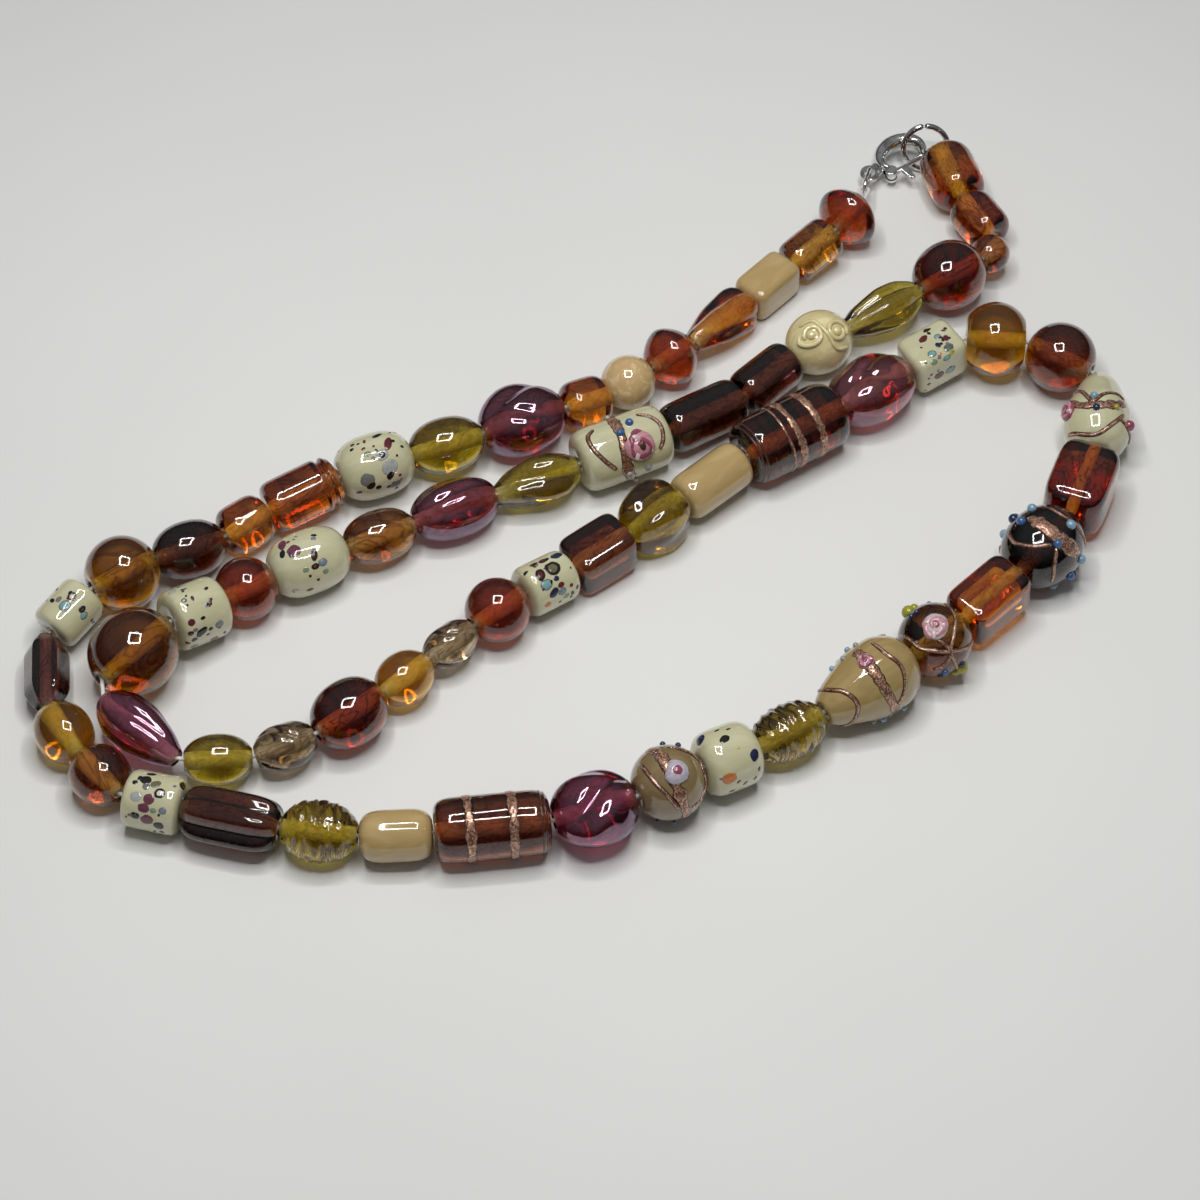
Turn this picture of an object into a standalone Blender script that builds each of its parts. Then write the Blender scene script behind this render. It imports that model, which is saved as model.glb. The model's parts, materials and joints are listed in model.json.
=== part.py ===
"""A long beaded necklace of lampwork glass, lying on a table in four strands.

Sixty-five drilled glass beads sit end to end on one thread. Its two ends meet at a small
lobster clasp, whose claw holds an open jump ring. Everything is in metres, +Z up, and the
origin is at the bottom centre of the whole necklace, on the table.
"""

import math
from collections import namedtuple

import bmesh
import bpy
import numpy as np
from mathutils import Matrix, Vector

MM = 0.001
UP = Vector((0, 0, 1))

# Thread and bores
THREAD_RADIUS = 0.40 * MM
BORE_RADIUS = 1.00 * MM
BEAD_GAP = 0.35 * MM
BORE_MARGIN = 0.12 * MM
THREAD_SIDES = 5

# How finely the glass is turned
BEAD_SIDES = 12
TANGENT = 1 / math.cos(math.pi / BEAD_SIDES)

# How the string settles on the table
SAG = 0.8 * MM
SETTLE_SWEEPS = 300
PLACE_PASSES = 8
ROOM_STEPS = 8
CURVE_STEPS = 24

# Lobster clasp, in its own frame: U from the eye to the tip, W across, N through it
EYE_PLACE = (49.4 * MM, 97.0 * MM, 2.7 * MM)
CLAW_HEADING = 33
CLAW_PITCH = 6
CLAW_ROLL = 6
EYE_RADIUS = 1.75 * MM
EYE_HOLE = 1.0 * MM
EYE_THICKNESS = 1.0 * MM
CLAW_THICKNESS = 2.8 * MM
CLAW_CENTRE = 7.2 * MM
CLAW_HALF_LENGTH = 5.0 * MM
CLAW_HALF_WIDTH = 4.1 * MM
CLAW_BAND = 1.5 * MM
CLAW_TIP_ANGLE = -38
CLAW_ROOT_ANGLE = 205
CLAW_BEVEL = 0.5 * MM
PIVOT_U = 3.3 * MM
PIVOT_W = -2.3 * MM
PIN_RADIUS = 0.38 * MM
PIN_CLEARANCE = 0.12 * MM
CHEEK_RADIUS = 1.1 * MM
LEVER_THICKNESS = 0.95 * MM
LEVER_CLEARANCE = 0.17 * MM
LEVER_WIDTH = 0.85 * MM
LEVER_END_U = 10.4 * MM
LEVER_END_W = -2.0 * MM
THUMB_U = 6.0 * MM
THUMB_LENGTH = 3.0 * MM
THUMB_WIDTH = 1.6 * MM
METAL_SIDES = 16

# Small link between the clasp's eye and the thread
LINK_LENGTH = 7.2 * MM
LINK_WIDTH = 3.8 * MM
LINK_WIRE = 0.38 * MM
LINK_PAST_EYE = 0.3 * MM

# Jump ring, held in the claw: where it passes the claw's mouth, and how steeply it leans
RING_RADIUS = 4.1 * MM
RING_WIRE = 0.55 * MM
RING_PASS = (8.2 * MM, 0.7 * MM)
RING_LEAN = 62
RING_SPLIT = 96
RING_SLIT = 4
RING_HOLD = -28
RING_SEGMENTS = 24
LOOP_RADIUS = 0.34 * MM
LOOP_CLEARANCE = 0.15 * MM
LOOP_BITE = 0.35 * MM

# Outline of each kind of bead along its string: how far along it, and its share of half the width
MIRRORED = {
    "round": ((0.00, 0.33), (0.08, 0.63), (0.335, 1.0)),
    "oval": ((0.00, 0.36), (0.08, 0.65), (0.32, 1.0)),
    "barrel": ((0.00, 0.56), (0.07, 0.84), (0.29, 1.0)),
    "cylinder": ((0.00, 0.72), (0.035, 0.93), (0.10, 1.0)),
    "rondelle": ((0.00, 0.36), (0.10, 0.76), (0.33, 1.0)),
    "tube": ((0.00, 0.52), (0.17, 0.93), (0.24, 1.0)),
}
ONE_WAY = {
    "cone": ((0.00, 0.62), (0.05, 0.88), (0.16, 1.0), (0.55, 0.86), (0.93, 0.52), (1.00, 0.36)),
    "drop": ((0.00, 0.34), (0.07, 0.62), (0.26, 0.95), (0.50, 1.0), (0.82, 0.70), (1.00, 0.34)),
    "egg": ((0.00, 0.46), (0.07, 0.78), (0.25, 1.0), (0.52, 0.97), (0.88, 0.58), (1.00, 0.34)),
}
FORMS = {name: half + tuple((1 - t, r) for t, r in reversed(half)) for name, half in MIRRORED.items()}
FORMS.update(ONE_WAY)
FORMS.update({name + "_back": tuple((1 - t, r) for t, r in reversed(rows)) for name, rows in ONE_WAY.items()})

# Cross-section of a bead: flats or lobes round it, how deep, turns along it, and height to width
Section = namedtuple("Section", "kind count depth turns height")
SECTIONS = {
    "plain": Section("lobes", 1, 0.0, 0.0, 1.0),
    "square": Section("square", 4, 0.0, 0.0, 0.98),
    "hexagon": Section("flats", 6, 0.0, 0.0, 1.0),
    "fluted": Section("lobes", 6, 0.12, 0.0, 0.95),
    "twisted": Section("lobes", 3, 0.16, 0.35, 0.95),
    "swept": Section("lobes", 4, 0.12, 0.16, 0.95),
    "nugget": Section("lobes", 3, 0.07, 0.1, 0.84),
    "flat": Section("lobes", 2, 0.03, 0.0, 0.88),
}

# The beads in their order from the clasp: length along the string and width across it in millimetres
Bead = namedtuple("Bead", "name form length width section glass")
BEADS = (
    Bead("rust_rondelle", "rondelle", 8.0, 11.8, "plain", "rust"),
    Bead("gold_cylinder", "cylinder", 9.6, 8.2, "plain", "amber"),
    Bead("beige_square", "cylinder", 10.8, 7.6, "square", "beige"),
    Bead("amber_twisted_cone", "cone", 14.6, 8.8, "swept", "amber"),
    Bead("rust_rondelle", "rondelle", 8.9, 10.9, "plain", "rust"),
    Bead("beige_round", "round", 8.5, 9.7, "plain", "beige"),
    Bead("amber_barrel", "barrel", 7.7, 8.8, "plain", "amber"),
    Bead("purple_nugget", "oval", 14.6, 13.7, "nugget", "purple"),
    Bead("olive_oval", "oval", 12.5, 9.9, "plain", "olive"),
    Bead("speckled_round", "barrel", 12.7, 11.2, "plain", "cream"),
    Bead("rust_cylinder", "cylinder", 12.7, 9.4, "plain", "rust"),
    Bead("amber_barrel", "barrel", 8.0, 8.9, "plain", "amber"),
    Bead("dark_oval", "oval", 12.1, 9.9, "plain", "dark_brown"),
    Bead("brown_round", "round", 11.2, 12.9, "plain", "olive_brown"),
    Bead("dotted_cylinder", "cylinder", 8.8, 8.6, "plain", "cream"),
    Bead("plum_hexagon", "tube", 13.7, 7.6, "hexagon", "plum"),
    Bead("olive_round", "round", 10.5, 9.6, "plain", "olive"),
    Bead("striped_oval", "oval", 9.8, 9.8, "plain", "amber"),
    Bead("spotted_cylinder", "cylinder", 9.0, 9.6, "plain", "cream"),
    Bead("brown_fluted_oval", "barrel", 15.6, 10.0, "fluted", "dark_brown"),
    Bead("olive_knobbly_oval", "oval", 11.9, 9.9, "plain", "olive"),
    Bead("beige_barrel", "barrel", 11.2, 8.5, "plain", "beige"),
    Bead("banded_cylinder", "cylinder", 18.1, 10.6, "plain", "brown"),
    Bead("magenta_nugget", "oval", 13.1, 13.6, "nugget", "purple"),
    Bead("eye_round", "round", 10.9, 12.4, "plain", "beige"),
    Bead("dotted_barrel", "barrel", 9.5, 11.0, "plain", "cream"),
    Bead("olive_knobbly_oval", "oval", 12.3, 9.2, "plain", "olive"),
    Bead("rose_egg", "egg_back", 17.4, 12.9, "plain", "beige"),
    Bead("rose_round", "round", 11.3, 12.4, "plain", "olive_brown"),
    Bead("amber_pillow", "cylinder", 12.9, 9.2, "square", "amber"),
    Bead("bumped_round", "round", 14.6, 13.4, "plain", "dark_brown"),
    Bead("amber_square_barrel", "barrel", 14.9, 11.2, "square", "amber"),
    Bead("rose_cone", "egg", 16.4, 11.8, "plain", "cream"),
    Bead("rust_round", "round", 11.5, 12.4, "plain", "rust"),
    Bead("gold_round", "round", 10.0, 13.4, "plain", "olive"),
    Bead("dotted_square_barrel", "cylinder", 10.0, 8.8, "square", "cream"),
    Bead("bronze_nugget", "oval", 15.4, 13.2, "nugget", "purple"),
    Bead("banded_cylinder", "cylinder", 19.1, 12.0, "plain", "dark_brown"),
    Bead("beige_cylinder", "cylinder", 13.1, 8.5, "plain", "beige"),
    Bead("olive_faceted_nugget", "barrel", 11.5, 10.8, "square", "olive"),
    Bead("amber_square_cylinder", "cylinder", 11.1, 9.2, "square", "brown"),
    Bead("blotched_cylinder", "cylinder", 9.0, 9.0, "plain", "cream"),
    Bead("rust_round", "round", 9.9, 11.0, "plain", "rust"),
    Bead("smoky_twist", "oval", 9.2, 7.8, "twisted", "smoke"),
    Bead("honey_round", "round", 9.8, 8.9, "plain", "olive"),
    Bead("marbled_oval", "oval", 12.3, 11.3, "plain", "rust"),
    Bead("smoky_twist", "oval", 9.7, 8.7, "twisted", "smoke"),
    Bead("olive_oval", "oval", 10.7, 8.5, "plain", "olive"),
    Bead("purple_drop", "drop_back", 16.0, 9.2, "plain", "purple"),
    Bead("large_brown_round", "round", 14.5, 14.6, "plain", "olive_brown"),
    Bead("dotted_cylinder", "cylinder", 9.4, 10.6, "plain", "cream"),
    Bead("rust_round", "round", 9.0, 10.9, "plain", "rust"),
    Bead("speckled_oval", "barrel", 13.1, 11.0, "plain", "cream"),
    Bead("swirled_oval", "oval", 12.1, 9.2, "plain", "amber"),
    Bead("purple_oval", "oval", 14.7, 10.3, "plain", "purple"),
    Bead("olive_twisted_drop", "drop_back", 14.8, 9.3, "swept", "olive"),
    Bead("rose_cylinder", "cylinder", 16.2, 11.2, "plain", "cream"),
    Bead("brown_cylinder", "cylinder", 14.7, 9.0, "plain", "dark_brown"),
    Bead("red_brown_cylinder", "cylinder", 11.6, 8.5, "plain", "dark_brown"),
    Bead("carved_round", "round", 11.4, 11.4, "plain", "beige"),
    Bead("olive_fluted_drop", "drop_back", 15.5, 8.6, "fluted", "olive"),
    Bead("dark_rust_round", "round", 12.6, 12.6, "plain", "rust"),
    Bead("small_clear_round", "oval", 6.1, 7.0, "plain", "amber"),
    Bead("swirled_cylinder", "barrel", 9.4, 8.8, "plain", "amber"),
    Bead("speckled_barrel", "barrel", 11.7, 10.2, "plain", "amber"),
)
FIRST_LOOSE = 13
LAST_LOOSE = 52
STRING_NAMES = ("clasp_side_string", "ring_side_string")

# Where the string runs over the table, in millimetres, from the clasp round to the jump ring
ROUTE = (
    (46.6, 85.6), (43.6, 80.8), (30.8, 69.4), (16.7, 53.1), (1.4, 41.5), (-13.4, 34.1),
    (-33.5, 26.6), (-52.5, 17.5), (-65.9, 7.4), (-76.7, 2.2), (-86.0, -4.9), (-90.7, -12.8),
    (-90.0, -23.1), (-83.5, -34.2), (-76.9, -42.0), (-67.9, -44.7), (-51.8, -48.9), (-33.8, -50.8),
    (-18.2, -49.1), (-1.5, -47.0), (14.5, -39.4), (35.2, -27.8), (50.1, -16.9), (64.8, -3.5),
    (75.8, 7.9), (82.1, 23.0), (87.2, 35.6), (85.4, 44.8), (75.8, 50.9), (65.8, 53.1),
    (55.5, 48.1), (42.9, 38.4), (25.9, 27.3), (5.3, 10.3), (-13.0, -3.3), (-29.3, -17.2),
    (-41.9, -29.4), (-58.0, -35.9), (-68.9, -35.4), (-78.3, -28.9), (-79.8, -18.1), (-73.2, -12.5),
    (-56.1, -0.5), (-32.2, 11.9), (-3.2, 25.0), (19.4, 37.0), (34.2, 49.8), (53.3, 62.5),
    (65.5, 70.2), (70.8, 75.1), (69.8, 80.4), (64.8, 89.2), (62.2, 99.1),
)

# Glass and metal: base colour, roughness, metallic
FINISHES = {
    "amber": ((0.62, 0.27, 0.05), 0.08, 0.0),
    "rust": ((0.33, 0.08, 0.03), 0.08, 0.0),
    "brown": ((0.30, 0.11, 0.04), 0.08, 0.0),
    "dark_brown": ((0.08, 0.035, 0.025), 0.08, 0.0),
    "olive": ((0.32, 0.26, 0.04), 0.08, 0.0),
    "olive_brown": ((0.20, 0.12, 0.035), 0.08, 0.0),
    "plum": ((0.13, 0.03, 0.04), 0.10, 0.0),
    "purple": ((0.24, 0.07, 0.10), 0.06, 0.2),
    "smoke": ((0.30, 0.26, 0.19), 0.10, 0.0),
    "cream": ((0.72, 0.72, 0.58), 0.15, 0.0),
    "beige": ((0.54, 0.44, 0.28), 0.15, 0.0),
    "thread": ((0.80, 0.78, 0.74), 0.60, 0.0),
    "silver": ((0.72, 0.71, 0.69), 0.14, 1.0),
}


def finish(name):
    """The material of one kind of glass, thread or metal, made once."""
    if name in bpy.data.materials:
        return bpy.data.materials[name]
    colour, roughness, metallic = FINISHES[name]
    material = bpy.data.materials.new(name)
    material.use_nodes = True
    shader = next(n for n in material.node_tree.nodes if n.type == "BSDF_PRINCIPLED")
    shader.inputs["Base Color"].default_value = (*colour, 1)
    shader.inputs["Roughness"].default_value = roughness
    shader.inputs["Metallic"].default_value = metallic
    return material


def curve_through(points):
    """A smooth curve through the points, as close steps that never kink."""
    padded = [points[0] * 2 - points[1], *points, points[-1] * 2 - points[-2]]
    steps = []
    for before, start, end, after in zip(padded, padded[1:], padded[2:], padded[3:]):
        for step in range(CURVE_STEPS):
            t = step / CURVE_STEPS
            steps.append(
                0.5
                * (
                    2 * start
                    + (end - before) * t
                    + (2 * before - 5 * start + 4 * end - after) * t * t
                    + (3 * start - before - 3 * end + after) * t**3
                )
            )
    return [*steps, points[-1]]


class Walk:
    """A walk along the curve in straight strides, as rigid beads lie on a bent thread."""

    def __init__(self, steps):
        self.steps = steps
        self.index = 0
        self.point = steps[0].copy()

    def stride(self, length):
        """The point on the curve this far in a straight line from the last one."""
        while self.index < len(self.steps) - 2:
            if (self.steps[self.index + 1] - self.point).length >= length:
                break
            self.index += 1
        start = self.steps[self.index]
        along = (self.steps[self.index + 1] - start).normalized()
        offset = start - self.point
        half = offset.dot(along)
        root = max(half * half - offset.length_squared + length * length, 0)
        self.point = start + along * (math.sqrt(root) - half)
        return self.point


def reach_of(bead, turn, along):
    """How far a bead's section reaches from its axis in one direction, as a share of half its width."""
    section = SECTIONS[bead.section]
    if section.kind == "square":
        share = (abs(math.cos(turn)) ** 5 + abs(math.sin(turn)) ** 5) ** -0.2 * 0.97
    elif section.kind == "flats":
        half = math.pi / section.count
        share = math.cos(half) / math.cos((turn + half) % (2 * half) - half)
    else:
        phase = section.count * (turn - 2 * math.pi * section.turns * along) + math.pi * (section.count % 2)
        share = TANGENT * (1 - section.depth * (1 + math.cos(phase)) / 2)
    return share


def ring_offsets(bead, along, radius):
    """The corners of one ring of a bead: distances to its side and up from its axis."""
    section = SECTIONS[bead.section]
    start = 0 if section.kind == "flats" else 0.5
    corners = []
    for side in range(BEAD_SIDES):
        turn = 2 * math.pi * (side + start) / BEAD_SIDES
        reach = radius * reach_of(bead, turn, along)
        corners.append((reach * math.sin(turn), -reach * math.cos(turn) * section.height))
    return corners


def profile(bead):
    """Each ring of a bead: its distance from the bead's start, and its corners."""
    half_width = bead.width * MM / 2
    least = BORE_RADIUS + 2 * BORE_MARGIN
    rings = []
    for along, share in FORMS[bead.form]:
        radius = max(share * half_width, least)
        rings.append((along * bead.length * MM, ring_offsets(bead, along, radius)))
    return rings


def depth_of(rings):
    """How low each ring reaches below the axis."""
    return [(distance, -min(up for _, up in corners)) for distance, corners in rings]


def room_between(before, after):
    """The clear distance between two neighbouring beads, each given by its ends and its rings."""
    axes = [(last - first).normalized() for first, last, _ in (before, after)]
    near, far = (np.array(corners_of(*bead)) for bead in (before, after))
    rooms = []
    for step in range(ROOM_STEPS + 1):
        facing = axes[0].lerp(axes[1], step / ROOM_STEPS).normalized()
        rooms.append((far @ facing).min() - (near @ facing).max())
    return max(rooms)


def corners_of(first, last, rings):
    """Every corner of a bead where it lies."""
    frame = bead_frame(first, last)
    return [point for distance, corners in rings for point in ring_at(frame, distance, corners)]


def settled_heights(depths):
    """Heights of the thread at the joints between beads, when each bead rests on the table."""
    count = len(depths)
    deepest = [max(depth for _, depth in rows) for rows in depths]
    heights = [max(deepest[max(i - 1, 0)], deepest[min(i, count - 1)]) for i in range(count + 1)]
    for _ in range(SETTLE_SWEEPS):
        for joint in range(count + 1):
            least = THREAD_RADIUS
            if joint > 0:
                length = depths[joint - 1][-1][0]
                for distance, depth in depths[joint - 1]:
                    share = distance / length
                    if share >= 0.5:
                        least = max(least, (depth - heights[joint - 1] * (1 - share)) / share)
            if joint < count:
                length = depths[joint][-1][0]
                for distance, depth in depths[joint]:
                    share = distance / length
                    if share <= 0.5:
                        least = max(least, (depth - heights[joint + 1] * share) / (1 - share))
            sides = [heights[i] for i in (joint - 1, joint + 1) if 0 <= i <= count]
            heights[joint] = max(least, sum(sides) / len(sides) - SAG)
    return heights


def laid_out(heights, gaps, scale):
    """The ends of every bead's axis with these gaps, and how much of the route they took."""
    steps = curve_through([Vector((*point, 0)) * MM * scale for point in ROUTE])
    walk = Walk(steps)
    ends = []
    for index, bead in enumerate(BEADS):
        rise = heights[index + 1] - heights[index]
        first = walk.point + UP * heights[index]
        last = walk.stride(math.sqrt((bead.length * MM) ** 2 - rise**2)) + UP * heights[index + 1]
        ends.append((first, last))
        if index < len(gaps):
            walk.stride(gaps[index])
    whole = sum((end - start).length for start, end in zip(steps, steps[1:]))
    left = (steps[-1] - walk.point).dot((steps[-1] - steps[-2]).normalized())
    return ends, 1 - left / whole


def place_beads():
    """The start and end of every bead's axis on the thread, each bead over the table."""
    rings = [profile(bead) for bead in BEADS]
    heights = settled_heights([depth_of(rows) for rows in rings])
    gaps = [BEAD_GAP] * (len(BEADS) - 1)
    scale = 1.0
    for _ in range(PLACE_PASSES):
        ends, share = laid_out(heights, gaps, scale)
        scale *= share
        beads = [(*pair, rows) for pair, rows in zip(ends, rings)]
        for index, (before, after) in enumerate(zip(beads, beads[1:])):
            gaps[index] += BEAD_GAP - room_between(before, after)
    return laid_out(heights, gaps, scale)[0]


def drop_of(bead, first, last):
    """How far a bead drops on its thread towards the table, as far as its bore lets it."""
    lowest = min(corner.z for corner in corners_of(first, last, profile(bead)))
    slack = BORE_RADIUS * math.cos(math.pi / BEAD_SIDES) - THREAD_RADIUS - BORE_MARGIN
    return UP * -min(lowest, slack)


def bead_frame(first, last):
    """A frame with X along a bead's axis, Y to its side and Z up from it, at the axis's start."""
    along = (last - first).normalized()
    side = UP.cross(along).normalized()
    up = along.cross(side)
    frame = Matrix((along, side, up)).transposed().to_4x4()
    frame.translation = first
    return frame


def circle_round(radius, sides=BEAD_SIDES, start=0.5):
    """The corners of a plain round ring, numbered as a bead's are."""
    turns = [2 * math.pi * (side + start) / sides for side in range(sides)]
    return [(radius * math.sin(turn), -radius * math.cos(turn)) for turn in turns]


def ring_at(frame, distance, corners):
    """The corners of a ring, square to the frame's X axis."""
    return [frame @ Vector((distance, side, up)) for side, up in corners]


def drawn_out(mesh, ring, places):
    """Pulls the open ring of a mesh out to new places, with faces between, and gives the new ring."""
    edges = {edge for vertex in ring for edge in vertex.link_edges if edge.other_vert(vertex) in ring}
    made = bmesh.ops.extrude_edge_only(mesh, edges=list(edges))["geom"]
    fresh = {item for item in made if isinstance(item, bmesh.types.BMVert)}
    moved = []
    for vertex, place in zip(ring, places):
        partner = next(e.other_vert(vertex) for e in vertex.link_edges if e.other_vert(vertex) in fresh)
        partner.co = place
        moved.append(partner)
    return moved


def loft(rings, closed):
    """A mesh drawn from ring to ring, closed back on its first ring or capped at both ends."""
    mesh = bmesh.new()
    first = bmesh.ops.create_circle(mesh, segments=len(rings[0]), radius=THREAD_RADIUS)["verts"]
    for vertex, place in zip(first, rings[0]):
        vertex.co = place
    ring = first
    for places in rings[1:]:
        ring = drawn_out(mesh, ring, places)
    if closed:
        ring = drawn_out(mesh, ring, rings[0])
        bmesh.ops.weld_verts(mesh, targetmap=dict(zip(ring, first)))
    else:
        for end in (first, ring):
            bmesh.ops.contextual_create(mesh, geom=end)
    bmesh.ops.recalc_face_normals(mesh, faces=mesh.faces)
    return mesh


def new_object(name, mesh, material, frame=None):
    """An object that holds the mesh, smooth on its round faces, in its own material."""
    data = bpy.data.meshes.new(name)
    mesh.to_mesh(data)
    mesh.free()
    data.materials.append(finish(material))
    data.shade_smooth()
    data.set_sharp_from_angle(angle=math.radians(35))
    made = bpy.data.objects.new(name, data)
    bpy.context.scene.collection.objects.link(made)
    if frame:
        made.matrix_world = frame
    return made


def drilled_bead(name, bead, first, last):
    """One glass bead with a bore for the thread, as an object of its own."""
    rows = profile(bead)
    start = 0 if SECTIONS[bead.section].kind == "flats" else 0.5
    bore = circle_round(BORE_RADIUS, start=start)
    rows += [(rows[-1][0], bore), (0, bore)]
    still = Matrix.Identity(4)
    mesh = loft([ring_at(still, distance, corners) for distance, corners in rows], closed=True)
    return new_object(name, mesh, bead.glass, bead_frame(first, last))


def bead_string(name, numbers, ends):
    """A run of beads fused on their thread into one body."""
    rings = []
    for number in numbers:
        bead = BEADS[number]
        first, last = ends[number]
        rows = profile(bead)
        frame = bead_frame(first, last)
        start = 0 if SECTIONS[bead.section].kind == "flats" else 0.5
        thread = circle_round(THREAD_RADIUS, start=start)
        rows = [(0, thread), *rows, (rows[-1][0], thread)]
        rings += [ring_at(frame, distance, corners) for distance, corners in rows]
    return new_object(name, loft(rings, closed=False), BEADS[numbers[0]].glass)


def tube(name, points, radius, material, closed=False, sides=THREAD_SIDES):
    """A round wire or thread along the points."""
    rings = []
    count = len(points)
    side = None
    for index, point in enumerate(points):
        before = points[index - 1] if index or closed else point
        after = points[(index + 1) % count] if index + 1 < count or closed else point
        along = (after - before).normalized()
        if side is None:
            side = along.orthogonal().normalized()
        side = (side - along * side.dot(along)).normalized()
        frame = Matrix((along, side, along.cross(side))).transposed().to_4x4()
        frame.translation = point
        rings.append(ring_at(frame, 0, circle_round(radius, sides)))
    return new_object(name, loft(rings, closed), material)


def thread_points(ends):
    """The thread through the loose beads, from the first one's mouth to the last one's."""
    return [point for number in range(FIRST_LOOSE, LAST_LOOSE + 1) for point in ends[number]]


def arc(centre, along, across, radius_along, radius_across, start, end, count):
    """Points on an arc of an ellipse, angles in degrees from the along direction."""
    points = []
    for step in range(count):
        turn = math.radians(start + (end - start) * step / (count - 1))
        points.append(
            centre + along * radius_along * math.cos(turn) + across * radius_across * math.sin(turn)
        )
    return points


def join_solid(keeper, other, operation):
    """Adds or cuts one shape on another, and keeps the helper out of the model."""
    change = keeper.modifiers.new(other.name, "BOOLEAN")
    change.operation = operation
    change.object = other
    change.solver = "EXACT"
    other.hide_render = True
    other.display_type = "WIRE"


def thread_loop(name, mouth, bead_axis, wire_point, wire_along, wire_radius):
    """The loop at an end of the thread: out of the bead's mouth, round a wire and back."""
    across = wire_along.cross(wire_point - mouth).normalized()
    out = across.cross(wire_along).normalized()
    round_wire = wire_radius + LOOP_RADIUS + LOOP_CLEARANCE
    bend = arc(wire_point, out, across, round_wire, round_wire, -100, 100, 9)
    leg = across * (LOOP_RADIUS + LOOP_CLEARANCE)
    inside = mouth - bead_axis * LOOP_BITE
    return tube(name, [inside - leg, *bend, inside + leg], LOOP_RADIUS, "thread")


def extruded(name, outline, thickness, bevel, frame):
    """A flat plate of metal with this outline, its edges rounded over."""
    mesh = bmesh.new()
    corners = [mesh.verts.new((point.x, point.y, -thickness / 2)) for point in outline]
    face = mesh.faces.new(corners)
    raised = bmesh.ops.extrude_face_region(mesh, geom=[face])["geom"]
    top = [item for item in raised if isinstance(item, bmesh.types.BMVert)]
    bmesh.ops.translate(mesh, verts=top, vec=(0, 0, thickness))
    bmesh.ops.recalc_face_normals(mesh, faces=mesh.faces)
    if bevel:
        rims = [e for e in mesh.edges if abs(e.verts[0].co.z - e.verts[1].co.z) < thickness / 2]
        bmesh.ops.bevel(
            mesh, geom=rims, offset=bevel, segments=1, profile=0.5, affect="EDGES", material=-1
        )
    return new_object(name, mesh, "silver", frame)


def pin(name, radius, length, frame):
    """A round pin through the origin of its frame, along Z."""
    mesh = bmesh.new()
    bmesh.ops.create_cone(
        mesh, cap_ends=True, segments=METAL_SIDES, radius1=radius, radius2=radius, depth=length
    )
    return new_object(name, mesh, "silver", frame)


def block(name, low, high, frame):
    """A box between two corners of a frame."""
    mesh = bmesh.new()
    size = [b - a for a, b in zip(low, high)]
    middle = [(a + b) / 2 for a, b in zip(low, high)]
    place = Matrix.Translation(middle) @ Matrix.Diagonal((*size, 1))
    bmesh.ops.create_cube(mesh, size=1, matrix=place)
    return new_object(name, mesh, "silver", frame)


def claw_body(frame):
    """The claw: a curved hook with its eye, and two cheeks that hold the lever's pin."""
    centre = Vector((CLAW_CENTRE, 0, 0))
    u_axis = Vector((1, 0, 0))
    w_axis = Vector((0, 1, 0))
    outer = arc(
        centre, u_axis, w_axis, CLAW_HALF_LENGTH, CLAW_HALF_WIDTH, CLAW_TIP_ANGLE, CLAW_ROOT_ANGLE, 18
    )
    inner = arc(
        centre, u_axis, w_axis, CLAW_HALF_LENGTH - CLAW_BAND, CLAW_HALF_WIDTH - CLAW_BAND,
        CLAW_ROOT_ANGLE, CLAW_TIP_ANGLE, 16,
    )
    hook = extruded("clasp_body", outer + inner, CLAW_THICKNESS, CLAW_BEVEL, frame)
    eye = pin("eye_disc", EYE_RADIUS, EYE_THICKNESS, frame)
    neck = block(
        "eye_neck",
        (EYE_HOLE + PIN_RADIUS, -EYE_RADIUS * 0.7, -EYE_THICKNESS * 0.45),
        (CLAW_CENTRE - CLAW_HALF_LENGTH + CLAW_BAND / 2, EYE_RADIUS * 0.7, EYE_THICKNESS * 0.45),
        frame,
    )
    pivot = frame @ Matrix.Translation((PIVOT_U, PIVOT_W, 0))
    cheek = pin("lever_cheek", CHEEK_RADIUS, CLAW_THICKNESS * 0.98, pivot)
    for piece in (eye, neck, cheek):
        join_solid(hook, piece, "UNION")
    hole = pin("eye_bore", EYE_HOLE, CLAW_THICKNESS * 2, frame)
    half_slot = LEVER_THICKNESS / 2 + LEVER_CLEARANCE
    slot = block(
        "lever_slot",
        (PIVOT_U - CHEEK_RADIUS - LEVER_CLEARANCE * 2, PIVOT_W - CHEEK_RADIUS * 2, -half_slot),
        (LEVER_END_U + LEVER_WIDTH, LEVER_END_W + LEVER_WIDTH / 2 + LEVER_CLEARANCE * 3, half_slot),
        frame,
    )
    for piece in (hole, slot):
        join_solid(hook, piece, "DIFFERENCE")
    rivet = pin("lever_pin", PIN_RADIUS, CLAW_THICKNESS * 0.9, pivot)
    join_solid(hook, rivet, "UNION")
    return hook


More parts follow.
